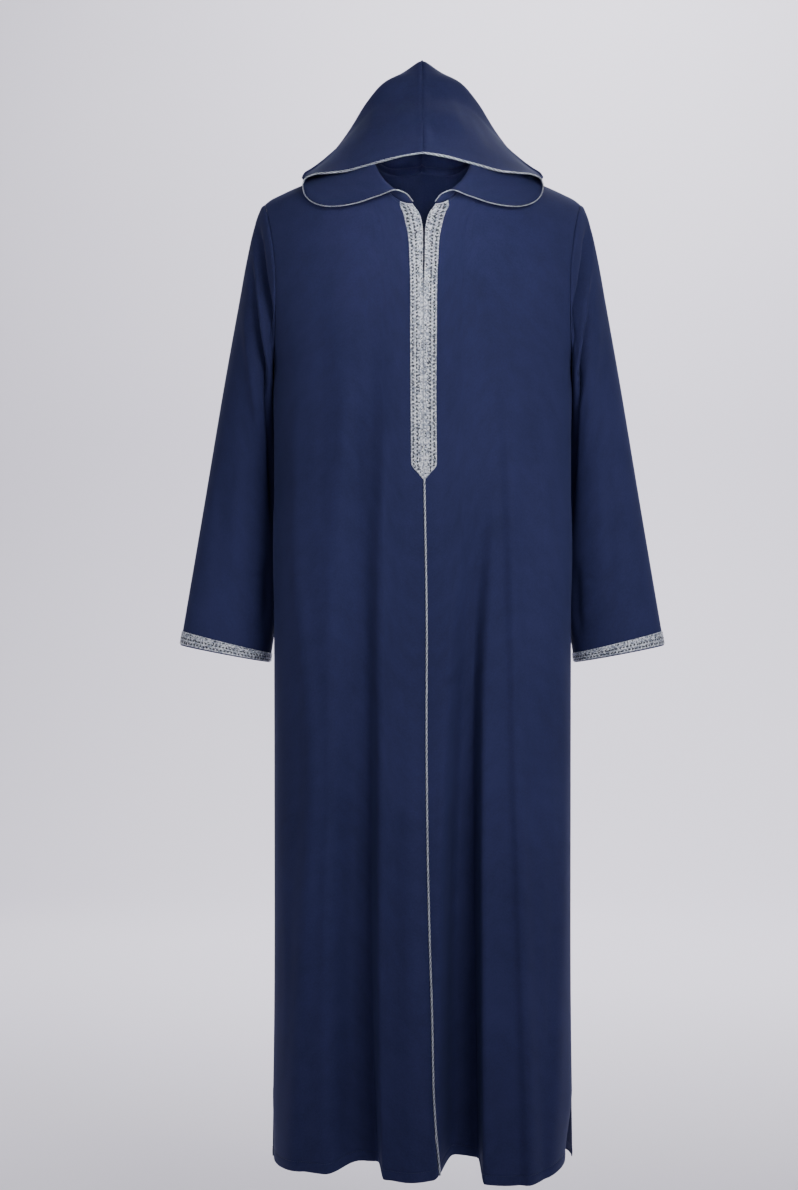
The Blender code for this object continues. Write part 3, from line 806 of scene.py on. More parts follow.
FRONT_CREASES = (
    Crease(-2.6, 24, ((-150, -150), (-140, -300), (-143, -470), (-148, -640))),
    Crease(-2.0, 15, ((-88, -260), (-92, -420), (-88, -580), (-92, -740))),
    Crease(1.6, 13, ((-62, -320), (-57, -470), (-59, -640), (-63, -780))),
    Crease(-2.0, 15, ((100, -270), (105, -430), (109, -600), (104, -780))),
    Crease(1.8, 12, ((124, -290), (125, -460), (130, -640), (136, -820))),
    Crease(1.5, 10, ((166, -400), (170, -560), (178, -720))),
    Crease(1.8, 18, ((-112, -250), (-110, -380), (-112, -520), (-110, -680))),
    Crease(1.6, 20, ((-176, -260), (-180, -420), (-178, -600), (-172, -760))),
    Crease(-1.4, 18, ((-80, -200), (-72, -320), (-78, -420))),
    Crease(-2.4, 18, ((138, -300), (144, -420), (151, -560), (158, -720), (160, -860))),
    Crease(1.4, 20, ((60, -180), (56, -300), (52, -440))),
    Crease(-1.4, 14, ((186, -420), (190, -560), (180, -700))),
    Crease(-1.3, 8, ((8, -752), (36, -751), (66, -747))),
    Crease(-1.0, 7, ((-104, -757), (-94, -762), (-84, -757))),
    Crease(1.2, 10, ((-196, -1000), (-192, -1180), (-200, -1380))),
    Crease(-1.6, 12, ((176, -900), (180, -1100), (176, -1360))),
)
BACK_CREASES = (
    Crease(-2.4, 30, ((-150, -160), (-140, -360), (-146, -620)), Facing.BACK),
    Crease(-2.0, 28, ((140, -170), (132, -380), (142, -680)), Facing.BACK),
    Crease(2.2, 26, ((-52, -240), (-50, -480), (-44, -700)), Facing.BACK),
    Crease(1.8, 30, ((62, -220), (48, -430), (52, -640)), Facing.BACK),
    Crease(-1.8, 14, ((-90, -420), (-20, -436), (60, -424)), Facing.BACK),
    Crease(-1.2, 10, ((30, -760), (-10, -766), (-60, -758)), Facing.BACK),
    Crease(1.6, 14, ((-176, -760), (-170, -1000), (-178, -1340)), Facing.BACK),
    Crease(1.8, 15, ((158, -820), (168, -1050), (170, -1360)), Facing.BACK),
)

# Millimetres from a seam, from the hood's rim and from the hem, where a surface has lines of its own
SEAM_BORDER = (0, 0.5, 1.1, 1.9, 3.0, 4.4)
RIM_BORDER = (0, 0.5, 1.2, 2.2, 4.0)
HEM_BORDER = (0, 0.6, 1.4, 3.0, 6.0, 9.5, 12.3, 13.4, 14.2, 15.0, 16.2, 19.0)


@dataclass(frozen=True)
class PanelCut:
    """How the front and back panels are cut, rolled in at their seams and hemmed."""

    wall: float = 1.1 * MM
    yoke_rows: int = 150
    skirt_rows: int = 150
    fine_shares: int = 260
    down: int = 226
    across_front: int = 74
    across_back: int = 132
    roll: float = 1.1 * MM
    roll_width: float = 3.4 * MM
    hem_stitch: float = 14.2 * MM
    neck_stitch: float = 7.0  # mm below the neck seam
    slit_stitch: float = 9.0  # mm from the side slit's edge
    hem_groove: float = 0.55 * MM
    hem_swell: float = 0.5 * MM
    groove_width: float = 1.1 * MM
    flat_edge: float = 20 * MM  # the creases fade out this near a seam

    def rows(self) -> Array:
        """The fine rows from the top edge to the hem."""
        yoke = np.arange(self.yoke_rows) / self.yoke_rows
        return np.concatenate([yoke, 1 + np.arange(self.skirt_rows + 1) / self.skirt_rows])

    def slit_line(self, body: Body, columns: Array) -> Array:
        """The line sewn beside the side slit at a panel's last column."""
        slit = line_at(columns.transpose(1, 0, 2), self.slit_stitch)
        return slit[slit[:, 2] < body.side_slit_top][:-2]

    def half(self, body: Body, inner_x: Callable[[Array], Array], side: Side, facing: Facing) -> Array:
        """Columns x rows of points from an inner edge to the side, closer together at both."""
        shares = np.sin(np.linspace(0, math.pi / 2, self.fine_shares)) ** 1.2
        share, row = np.meshgrid(shares, self.rows(), indexing="ij")

        def place_x(z: Array) -> Array:
            inner = inner_x(z)
            return inner + (side.value * body.edge_x(z, side.value, facing) - inner) * share

        return body.points(place_x, row, facing)

    def finished(self, points: Array, turned: bool, creases: Sequence[Crease], across: int,
                 inner_edge: bool) -> Array:
        """Respaces a panel, rolls its edges in, and lays its hem and creases.

        Args:
            points: fine columns x rows.
            turned: which side of the grid is the outside.
            creases: the listed creases.
            across: the even columns between the side borders.
            inner_edge: the first column is a seam or an edge of its own.
        """
        even = respaced(points, self.down, (SEAM_BORDER, HEM_BORDER))
        rows = respaced(even.transpose(1, 0, 2), across, (SEAM_BORDER, SEAM_BORDER))
        grid = rows.transpose(1, 0, 2)
        normals = normals_of(grid, False, turned)
        from_inner = lengths_along(grid, 0)
        from_side = from_inner[-1:] - from_inner
        from_top = lengths_along(grid, 1)
        from_hem = from_top[:, -1:] - from_top
        out = creased(grid, normals, creases) * ease(from_side / self.flat_edge)
        out *= ease(from_top / self.flat_edge)
        out += rolled_in(from_side, self.roll, self.roll_width)
        out += rolled_in(from_top, self.roll, self.roll_width)
        out += rolled_in(from_hem, self.roll * 0.5, self.roll_width * 0.5)
        if inner_edge:
            out += rolled_in(from_inner, self.roll * 0.8, self.roll_width)
        out += self.hem_swell * ease(1 - np.abs(from_hem - 0.5 * self.hem_stitch) / (0.5 * self.hem_stitch))
        out -= self.hem_groove * np.exp(-((from_hem - self.hem_stitch) / self.groove_width) ** 2)
        return grid + normals * out[..., None]


@dataclass(frozen=True)
class FrontPanel:
    """One front panel, cut from the centre-front seam to the side seam."""

    side: Side
    body: Body
    cut: PanelCut

    @property
    def turned(self) -> bool:
        """The frame's left front is the one whose grid is turned round."""
        return self.side is Side.LEFT

    @cached_property
    def grid(self) -> Array:
        """The panel's outer face, columns x rows, from the inner edge to the side."""
        fine = self.cut.half(self.body, self.body.slit_edge(self.side), self.side, Facing.FRONT)
        return self.cut.finished(fine, self.turned, FRONT_CREASES, self.cut.across_front, True)

    def stitch_lines(self) -> list[Array]:
        """The lines sewn on the panel: the hem, round the neck, and beside the side slit."""
        hem = line_at(self.grid, self.cut.hem_stitch / MM)
        neck = line_at(self.grid[:, ::-1], self.cut.neck_stitch)
        neck = neck[np.abs(neck[:, 0]) < self.body.neck_half_width]
        return [hem[1:-1], neck[2:], self.cut.slit_line(self.body, self.grid)]

    def build(self, cloth: bpy.types.Material) -> bpy.types.Object:
        """Makes the panel's cloth and dresses it."""
        grid = self.grid
        piece = grid_piece(f"front_cloth_{self.side.word}", grid, cloth_uv(grid, True), turned=self.turned)
        return walled(piece, cloth, self.cut.wall)


@dataclass(frozen=True)
class BackPanel:
    """The back panel, cut in one from side seam to side seam."""

    body: Body
    cut: PanelCut

    @cached_property
    def grid(self) -> Array:
        """The panel's outer face, columns x rows, from the wearer's right to the left."""
        halves = [self.cut.half(self.body, np.zeros_like, side, Facing.BACK) for side in Side]
        fine = np.concatenate([halves[0][:0:-1], halves[1]])
        grid = self.cut.finished(fine, False, BACK_CREASES, self.cut.across_back, False)
        normals = normals_of(grid, False, False)
        rolled = rolled_in(lengths_along(grid, 0), self.cut.roll, self.cut.roll_width)
        return grid + normals * rolled[..., None]

    def stitch_lines(self) -> list[Array]:
        """The lines sewn on the panel: the hem, and beside both side slits."""
        hem = line_at(self.grid, self.cut.hem_stitch / MM)[1:-1]
        return [hem] + [self.cut.slit_line(self.body, columns) for columns in (self.grid, self.grid[::-1])]

    def build(self, cloth: bpy.types.Material) -> bpy.types.Object:
        """Makes the panel's cloth and dresses it."""
        grid = self.grid
        piece = grid_piece("back_cloth", grid, cloth_uv(grid, True))
        return walled(piece, cloth, self.cut.wall)


# Millimetres from the armhole and from the cuff's edge, where a sleeve has rows of its own
HEAD_BORDER = (0, 0.6, 1.3, 2.3, 3.6, 5.2)
CUFF_BORDER = (21.5, 20.5, 18, 12, 7, 2.5, 1.4, 0.6, 0)

SLEEVE_CREASES = (
    # The wearer's right sleeve, from the front: two slanting grooves under the arm with a ridge between them
    Crease(-20, 9.5, ((-236, -88), (-236, -118), (-233, -150), (-228, -186), (-221, -221), (-215, -257),
                      (-213, -292))),
    Crease(5.0, 9, ((-240, -116), (-239, -158), (-234, -206), (-229, -250), (-221, -300), (-216, -350))),
    Crease(-15, 9, ((-246, -120), (-244, -164), (-240, -207), (-236, -250), (-230, -293), (-224, -329),
                    (-219, -364), (-216, -408), (-215, -470), (-215, -560))),
    Crease(3.5, 12, ((-256, -190), (-252, -250), (-245, -310), (-238, -370), (-234, -440))),
    Crease(-1.6, 18, ((-286, -420), (-294, -540), (-300, -660))),
    Crease(1.8, 16, ((-262, -400), (-268, -520), (-272, -640))),
    Crease(-4.0, 14, ((-222, -560), (-224, -640), (-232, -700))),
    Crease(-1.2, 9, ((-262, -600), (-238, -604), (-218, -598))),
    # The wearer's left sleeve
    Crease(-20, 9.5, ((237, -88), (237, -114), (234, -150), (227, -193), (219, -225), (214, -255),
                      (212, -285))),
    Crease(5.0, 9, ((240, -130), (236, -180), (229, -236), (222, -290), (216, -340))),
    Crease(-14, 8.5, ((241, -150), (240, -193), (237, -236), (232, -264), (228, -300), (222, -336),
                      (217, -364), (215, -408), (214, -470), (214, -560))),
    Crease(3.0, 12, ((254, -200), (250, -260), (244, -320), (236, -380), (231, -450))),
    Crease(-1.8, 18, ((264, -380), (270, -520), (274, -660))),
    Crease(1.6, 16, ((292, -440), (300, -560), (306, -660))),
    Crease(-3.4, 13, ((221, -570), (223, -650), (230, -705))),
    Crease(-1.2, 9, ((224, -602), (246, -608), (272, -600))),
    # Behind
    Crease(-7, 16, ((-222, -150), (-226, -260), (-222, -380)), Facing.BACK),
    Crease(3, 14, ((-246, -160), (-250, -280), (-244, -400)), Facing.BACK),
    Crease(-6, 15, ((223, -140), (226, -240), (221, -350)), Facing.BACK),
    Crease(2.6, 14, ((246, -190), (250, -300), (243, -420)), Facing.BACK),
    Crease(-2.2, 14, ((-300, -430), (-262, -446), (-232, -440)), Facing.BACK),
    Crease(-2.0, 13, ((296, -420), (264, -438), (236, -436)), Facing.BACK),
)


@dataclass(frozen=True)
class Sleeve:
    """A wide straight sleeve set into the armhole, whose section turns from the armhole's into its own."""

    side: Side
    body: Body
    wall: float = 1.1 * MM
    head_share: float = 0.45
    braid_height: float = 19 * MM
    bare_edge: float = 2 * MM
    flat_head: float = 14 * MM  # the creases fade out this near the armhole
    head_roll: float = 1.2 * MM
    head_roll_width: float = 4.2 * MM
    head_swell: float = 0.5 * MM
    swell_at: float = 6 * MM
    swell_width: float = 4 * MM
    cuff_roll: float = 0.5 * MM
    cuff_roll_width: float = 1.4 * MM
    around: int = 136
    down: int = 150
    outer: SmoothCurve = path(((228.2, 0, -68.4), (231, 0, -71), (237, 1, -82), (244, 3, -104),
                               (254, 8, -147), (265, 16, -205), (285, 32, -310), (318, 44, -500),
                               (352.5, 45, -702)))
    inner: SmoothCurve = path(((214.2, 0, -310.6), (214.7, 3, -316), (214.0, 14, -346), (213.2, 28, -393),
                               (210.4, 42, -456), (210.4, 46, -600), (212.5, 46, -660), (221.5, 45, -727)))
    depths: SmoothCurve = SmoothCurve((0, 0.35, 0.7, 1), (58 * MM, 60 * MM, 54 * MM, 50 * MM))

    @property
    def turned(self) -> bool:
        """The frame's left sleeve is the one whose grid is turned round."""
        return self.side is Side.LEFT

    @property
    def length(self) -> float:
        """The straight length of the outer edge."""
        return float(np.linalg.norm(self.outer(1) - self.outer(0)))

    def armhole_ring(self, turn: Array) -> Array:
        """The armhole's edge, round from the shoulder by the front."""
        gap = np.array([0.25 * MM, 0, 0])
        rings = []
        for facing, angle in ((Facing.FRONT, turn), (Facing.BACK, 2 * np.pi - turn)):
            row = np.clip(angle / np.pi, 0, 1)
            top = self.body.edge_x(np.asarray(self.body.shoulder_level), 1, facing)
            z = self.body.yoke_height(top, row, facing)
            x = self.body.edge_x(z, 1, facing)
            rings.append(np.stack([x, self.body.surface_y(x, z, facing), z], axis=-1) + gap)
        return np.where((turn <= np.pi)[..., None], rings[0], rings[1])

    def section(self, at: Array, turn: Array) -> Array:
        """The sleeve's own section at a share of its length."""
        top, bottom = self.outer(at), self.inner(at)
        middle = (top + bottom) / 2
        forward = np.stack([np.zeros_like(at), self.depths(at) * np.sin(turn), np.zeros_like(at)], axis=-1)
        return middle + (top - middle) * np.cos(turn)[..., None] - forward

    def surface(self, at: Array, turn: Array) -> Array:
        """Points of the sleeve on the wearer's own side."""
        kept = 1 - ease(at / self.head_share)
        start = self.armhole_ring(turn) - self.section(np.zeros_like(at), turn)
        points = self.section(at, turn) + start * kept[..., None]
        return points * np.array([self.side.value, 1, 1])

    def build(self, cloth: bpy.types.Material) -> bpy.types.Object:
        """Makes the sleeve's cloth and dresses it."""
        near = np.array(HEAD_BORDER) * MM / self.length
        last = 1 - np.array(CUFF_BORDER) * MM / self.length
        rows = np.concatenate([near, np.linspace(near[-1], last[0], self.down + 2)[1:-1], last])
        at, turn = np.meshgrid(rows, np.linspace(0, 2 * np.pi, self.around + 1), indexing="ij")
        grid = self.surface(at, turn)
        grid[:, -1] = grid[:, 0]
        normals = normals_of(grid, True, self.turned)
        from_top = lengths_along(grid, 0)
        from_cuff = from_top[-1:] - from_top
        out = creased(grid, normals, SLEEVE_CREASES) * ease(from_top / self.flat_head)
        out += rolled_in(from_top, self.head_roll, self.head_roll_width)
        out += self.head_swell * np.exp(-((from_top - self.swell_at) / self.swell_width) ** 2)
        out += rolled_in(from_cuff, self.cuff_roll, self.cuff_roll_width)
        out[:, -1] = out[:, 0]
        grid = grid + normals * out[..., None]
        piece = grid_piece(f"sleeve_cloth_{self.side.word}", grid, cloth_uv(grid, False), True, self.turned)
        return walled(piece, cloth, self.wall)


@dataclass(frozen=True)
class HoodSection:
    """One section of the hood: its place from the rim (0) to the centre back (1), and two runs of points.

    Attributes:
        at: the section's place.
        under: from the neck seam out to the outer fold.
        over: from that fold to the crown seam.
    """

    at: float
    under: tuple[Row, ...]
    over: tuple[Row, ...]


HOOD_CREASES = (
    Crease(-1.8, 18, ((-24, 112), (-40, 70), (-50, 26))),
    Crease(1.5, 16, ((-58, 96), (-74, 50), (-84, 10))),
    Crease(-1.6, 9, ((-2, 62), (-9, 36), (-8, 10))),
    Crease(1.6, 16, ((36, 100), (50, 58), (62, 20))),
    Crease(-1.6, 16, ((70, 84), (88, 42), (104, 4))),
    Crease(-1.4, 10, ((10, 50), (16, 28), (14, 8))),
    Crease(-1.6, 14, ((-110, -44), (-130, -52), (-150, -56))),
    Crease(1.4, 12, ((-70, -50), (-96, -62), (-118, -70))),
    Crease(-1.6, 14, ((104, -42), (126, -52), (146, -56))),
    Crease(1.4, 12, ((66, -46), (90, -58), (116, -70))),
    Crease(-2.4, 18, ((-30, 110), (-44, 60), (-40, 10)), Facing.BACK),
    Crease(-2.0, 16, ((34, 104), (50, 52), (44, 6)), Facing.BACK),
    Crease(1.8, 20, ((-74, 60), (-86, 20), (-84, -16)), Facing.BACK),
    Crease(1.8, 18, ((78, 56), (88, 14), (84, -18)), Facing.BACK),
)


@dataclass(frozen=True)
class HoodHalf:
    """Half the hood, which lies back over the shoulder and closes in the crown seam."""

    side: Side
    body: Body
    wall: float = 1.1 * MM
    fold_at: float = 0.5
    seam_roll: float = 2.4 * MM
    seam_width: float = 4.2 * MM
    seam_swell: float = 1.0 * MM
    seam_overlap: float = 0.5 * MM
    neck_roll: float = 1.2 * MM
    tip_reach: float = 16 * MM
    neck_gap: float = 0.3 * MM
    rim_roll: float = 0.4 * MM
    rim_roll_width: float = 1.6 * MM
    fine_at: int = 141
    fine_up: int = 241
    across: int = 104
    up: int = 120
    sections: tuple[HoodSection, ...] = (
        HoodSection(0.0, ((18, -106, -83), (28, -108, -71), (38, -110, -66.5), (66, -105, -72),
                          (94, -100, -80), (115, -95, -83), (137, -86, -82), (156.5, -72, -73.5),
                          (167.5, -58, -60), (171, -49, -47)),
                    ((171, -49, -47), (167.5, -45, -37), (156, -44, -31), (135, -49, -29), (108, -57, -27),
                     (85, -62, -21.5), (60, -68, -15.5), (31, -76, -9.5), (0, -80, -5))),
        HoodSection(0.28, ((48, -93, -62), (52, -96, -50), (65, -93, -51), (95, -83, -55), (130, -68, -56),
                           (160, -44, -47), (171, -24, -38)),
                    ((171, -24, -38), (167, -18, -29), (150, -16, -16), (120, -16, 1), (80, -24, 20),
                     (40, -35, 33), (0, -41, 39))),
        HoodSection(0.43, ((60, -80, -41), (63, -82, -32), (74, -77, -31), (98, -62, -33), (130, -46, -36),
                           (160, -32, -40), (172, -12, -32)),
                    ((172, -12, -32), (168, -5, -24), (154, 0, -14), (126, 2, 8), (92, 0, 33), (60, -8, 52),
                     (32, -17, 62), (0, -21, 63))),
        HoodSection(0.571, ((75, 0, 0), (77, 0, 10), (86, 0, 8), (100, 0, -1), (130, 0, -15), (160, 0, -28),
                            (171, 2, -25)),
                    ((171, 2, -25), (168, 6, -19), (160, 10, -13), (132, 22, 12), (100, 30, 45), (72, 24, 73),
                     (40, 12, 84), (0, -1, 86))),
        HoodSection(0.8, ((50, 53, -10), (54, 58, 0), (62, 68, -6), (80, 80, -22), (98, 90, -30),
                          (116, 94, -30)),
                    ((116, 94, -30), (120, 93, -13), (113, 88, 20), (93, 78, 62), (74, 67, 97), (51, 53, 123),
                     (25, 38, 129), (0, 31, 126))),
        HoodSection(0.9, ((26, 66, -9), (29, 71, 1), (34, 80, -2), (43, 93, -14), (53, 103, -23),
                          (66, 107, -21)),
                    ((66, 107, -21), (71, 113, -2), (69, 111, 36), (58, 101, 76), (45, 87, 108),
                     (29, 69, 133), (17, 58, 143), (8, 53, 148), (0, 50, 149))),
        HoodSection(1.0, ((0, 71, -8), (0, 75, 1), (0, 84, 0), (0, 98, -8), (0, 114, -2)),
                    ((0, 114, -2), (0, 126, 25), (0, 122, 65), (0, 106, 105), (0, 84, 138), (0, 58, 154))),
    )

    @property
    def turned(self) -> bool:
        """The frame's right hood half is the one whose grid is turned round."""
        return self.side is Side.RIGHT

    def neckline(self, at: Array) -> Array:
        """The neck seam from the slit (0) over the shoulder seam to the centre back (1), on the +X side."""
        chords = FRONT_SPACING.neck_columns + BACK_SPACING.neck_columns
        place = at * chords
        body, sign = self.body, self.side.value
        slit = body.slit_edge(self.side)
        inner = sign * float(slit(0.0))
        width = float(body.edge_x(np.asarray(body.shoulder_level), 1, Facing.FRONT))
        front = FRONT_SPACING.share(np.clip(place, 0, FRONT_SPACING.neck_columns),
                                    (body.neck_half_width - inner) / (width - inner))
        back = BACK_SPACING.share(np.clip(chords - place, 0, BACK_SPACING.neck_columns),
                                  body.neck_half_width / width)

        def front_x(z: Array) -> Array:
            return slit(z) + (sign * body.edge_x(z, sign, Facing.FRONT) - slit(z)) * front

        def back_x(z: Array) -> Array:
            return sign * body.edge_x(z, sign, Facing.BACK) * back

        row = np.zeros_like(at)
        before = body.points(front_x, row, Facing.FRONT)
        behind = body.points(back_x, row, Facing.BACK)
        seam = np.where((place <= FRONT_SPACING.neck_columns)[..., None], before, behind)
        return np.stack([np.abs(seam[..., 0]), seam[..., 1], seam[..., 2] + self.neck_gap], axis=-1)

    def surface(self, at: Array, up: Array) -> Array:
        """Points of the hood: a column of places from rim to back, a row of places from neck to crown."""
        knots = [section.at for section in self.sections]
        weights = SmoothCurve(knots, np.eye(len(knots)))(at)
        over = up >= self.fold_at
        along = np.where(over, (up - self.fold_at) / (1 - self.fold_at), up / self.fold_at)
        cages = np.array([np.where(over[:, None], path(section.over)(along), path(section.under)(along))
                          for section in self.sections])
        loft = np.einsum("as,suc->auc", weights, cages)
        crown = SmoothCurve(knots, [np.asarray(section.over[-1]) * MM for section in self.sections])(at)
        low = self.neckline(at) - loft[:, 0]
        high = crown - loft[:, -1]
        near_neck = ((1 - up) ** 3)[None, :, None]
        near_crown = (up ** 3)[None, :, None]
        points = loft + low[:, None] * near_neck + high[:, None] * near_crown
        points[..., 0] = np.maximum(points[..., 0], 0) + self.body.seam_gap
        return points * np.array([self.side.value, 1, 1])

    def build(self, cloth: bpy.types.Material) -> bpy.types.Object:
        """Makes the half's cloth and dresses it."""
        fine = self.surface(np.linspace(0, 1, self.fine_at), np.linspace(0, 1, self.fine_up))
        rows = respaced(fine, self.up, (SEAM_BORDER, SEAM_BORDER))
        grid = respaced(rows.transpose(1, 0, 2), self.across, (RIM_BORDER, SEAM_BORDER))
        grid = grid.transpose(1, 0, 2)
        normals = normals_of(grid, False, self.turned)
        from_rim = lengths_along(grid, 0)
        from_back = from_rim[-1:] - from_rim
        from_neck = lengths_along(grid, 1)
        from_crown = from_neck[:, -1:] - from_neck
        seams = np.minimum(from_back, from_crown)
        from_tip = np.linalg.norm(grid - grid[-1, -1], axis=-1)
        out = rolled_in(seams, self.seam_roll, self.seam_width)
        out += self.seam_swell * np.exp(-((seams - 1.4 * self.seam_width) / (0.8 * self.seam_width)) ** 2)
        out *= ease(from_tip / self.tip_reach)
        out += creased(grid, normals, HOOD_CREASES)
        out += rolled_in(from_neck, self.neck_roll, self.seam_width) * ease(from_rim / self.tip_reach)
        out += rolled_in(from_rim, self.rim_roll, self.rim_roll_width)
        grid = grid + normals * out[..., None]
        # Inside the seams the two halves' edges cross, so that no light shows through.
        grid[-1, :, 0] = grid[:, -1, 0] = -self.side.value * self.seam_overlap
        piece = grid_piece(f"hood_cloth_{self.side.word}", grid, cloth_uv(grid, True), turned=self.turned)
        return walled(piece, cloth, self.wall)


# Braid

# The two sides are cut from different lengths of the braid.
PATTERN_SHIFT = {Side.RIGHT: 0.0, Side.LEFT: 0.481}


@dataclass(frozen=True)
class BraidProfile:
    """The braid's cross-section: corded edges and raised ribs on a flat woven tape.

    Attributes:
        base: the tape's thickness in millimetres.
        ribs: (place across from 0 to 1, half width, height in millimetres).
    """

    base: float = 0.75
    ribs: tuple[Row, ...] = ((0.03, 0.035, 0.35), (0.24, 0.025, 0.35), (0.63, 0.045, 0.5), (0.95, 0.05, 0.7))
    chevron_pitch: float = 5.2
    chevron_height: float = 0.25
    chevron_middle: float = 0.43

    def height(self, across: Array, down: Array) -> Array:
        """How high the face stands over the cloth, in metres."""
        height = np.full(np.broadcast(across, down).shape, self.base)
        for place, half, rise in self.ribs:
            height += rise * np.sqrt(np.clip(1 - ((across - place) / half) ** 2, 0, 1))
        off = np.abs(across - self.chevron_middle)
        chevrons = np.sin(2 * np.pi * (down / (self.chevron_pitch * MM) + 8 * off / self.chevron_pitch))
        return (height + self.chevron_height * chevrons * ease((0.14 - off) / 0.04)) * MM


@dataclass(frozen=True)
class PlacketBraid:
    """The braid beside the neck slit, laid on the front panel and cut to a point at the bottom."""

    side: Side
    body: Body
    profile: BraidProfile = BraidProfile()
    laid_on: float = 0.35 * MM
    thickness: float = 0.7 * MM
    columns: int = 40
    tip: float = -470 * MM
    corner: float = -451 * MM
    edge_cord: float = 1.5 * MM
    top_gap: float = 2.6 * MM
    row_step: float = 1.0 * MM
    last_row: float = 1.25
    fine_rows: int = 2400
    cord_place: float = 0.95
    half_widths: SmoothCurve = table(((-470, 0.8), (-464, 6), (-458, 11.2), (-454, 14.9), (-451, 16.9),
                                      (-447, 17.8), (-440, 18), (-420, 18), (-400, 18), (-276, 18.5),
                                      (-163, 20), (-125, 22.5), (-105, 27), (-80, 33)))

    def build(self, silver: bpy.types.Material) -> bpy.types.Object:
        """Makes the band and dresses it."""
        body, sign = self.body, self.side.value
        slit = body.slit_edge(self.side)
        fine = np.linspace(0.0, self.last_row, self.fine_rows)
        inner = body.points(slit, fine, Facing.FRONT)
        kept = inner[:, 2] > self.tip
        run = lengths_along(inner[kept][None], 1)[0]
        even = np.arange(self.top_gap, run[-1], self.row_step)
        rows = np.interp(even, run, fine[kept])
        share = np.linspace(0, 1, self.columns + 1)
        row, across = np.meshgrid(rows, share, indexing="ij")
        level = body.points(slit, rows, Facing.FRONT)[:, 2]
        width = self.half_widths(level) - sign * (slit(level) - body.front_seam(level))
        width = np.maximum(width, 0.4 * MM)[:, None]
        grid = body.points(lambda z: slit(z) + sign * width * across, row, Facing.FRONT)
        down = np.broadcast_to(even[:, None], across.shape)
        turned = self.side is Side.RIGHT
        normals = normals_of(grid, False, turned)
        # At the point the ribs run straight on under the edge cord, which follows the slanting side.
        straight = np.minimum(across * width / self.half_widths(self.corner), 0.9)
        slanted = np.where((1 - across) * width < self.edge_cord, self.cord_place, straight)
        shown = np.where(level[:, None] < self.corner, slanted, across)
        shown = np.where(down < even[0] + self.edge_cord, self.cord_place, shown)
        rise = self.profile.height(shown, down) + self.laid_on
        edge = ease((1 - across) * width / (1.0 * MM)) * ease(across * width / (0.6 * MM) + 0.35)
        grid = grid + normals * (self.laid_on + (rise - self.laid_on) * (0.25 + 0.75 * edge))[..., None]
        uv = np.stack([shown, down + PATTERN_SHIFT[self.side]], axis=-1)
        piece = grid_piece(f"placket_band_{self.side.word}", grid, uv, turned=turned)
        return walled(piece, silver, self.thickness)


@dataclass(frozen=True)
class CuffBraid:
    """The braid round a sleeve's end."""

    sleeve: Sleeve
    profile: BraidProfile = BraidProfile()
    laid_on: float = 0.5 * MM
    thickness: float = 0.7 * MM
    edge_width: float = 1 * MM
    around: int = 330
    across: int = 26

    def build(self, silver: bpy.types.Material) -> bpy.types.Object:
        """Makes the band and dresses it."""
        sleeve = self.sleeve
        start = 1 - (sleeve.bare_edge + sleeve.braid_height) / sleeve.length
        end = 1 - sleeve.bare_edge / sleeve.length
        share = np.linspace(0, 1, self.across + 1)
        at, turn = np.meshgrid(start + (end - start) * share, np.linspace(0, 2 * np.pi, self.around + 1),
                               indexing="ij")
        grid = sleeve.surface(at, turn)
        grid[:, -1] = grid[:, 0]
        down = lengths_along(grid, 1)
        turns = round(float(down[0, -1]) / (self.profile.chevron_pitch * MM))
        down = down / down[:, -1:] * turns * self.profile.chevron_pitch * MM
        across = np.broadcast_to(share[:, None], down.shape)
        normals = normals_of(grid, True, sleeve.turned)
        edge = ease((1 - across) * sleeve.braid_height / self.edge_width)
        edge *= ease(across * sleeve.braid_height / self.edge_width)
        rise = self.laid_on + self.profile.height(across, down) * (0.25 + 0.75 * edge)
        grid = grid + normals * rise[..., None]
        uv = np.stack([across, down + PATTERN_SHIFT[sleeve.side]], axis=-1)
        piece = grid_piece(f"cuff_band_{sleeve.side.word}", grid, uv, True, sleeve.turned)
        return walled(piece, silver, self.thickness)


# Cords and stitches

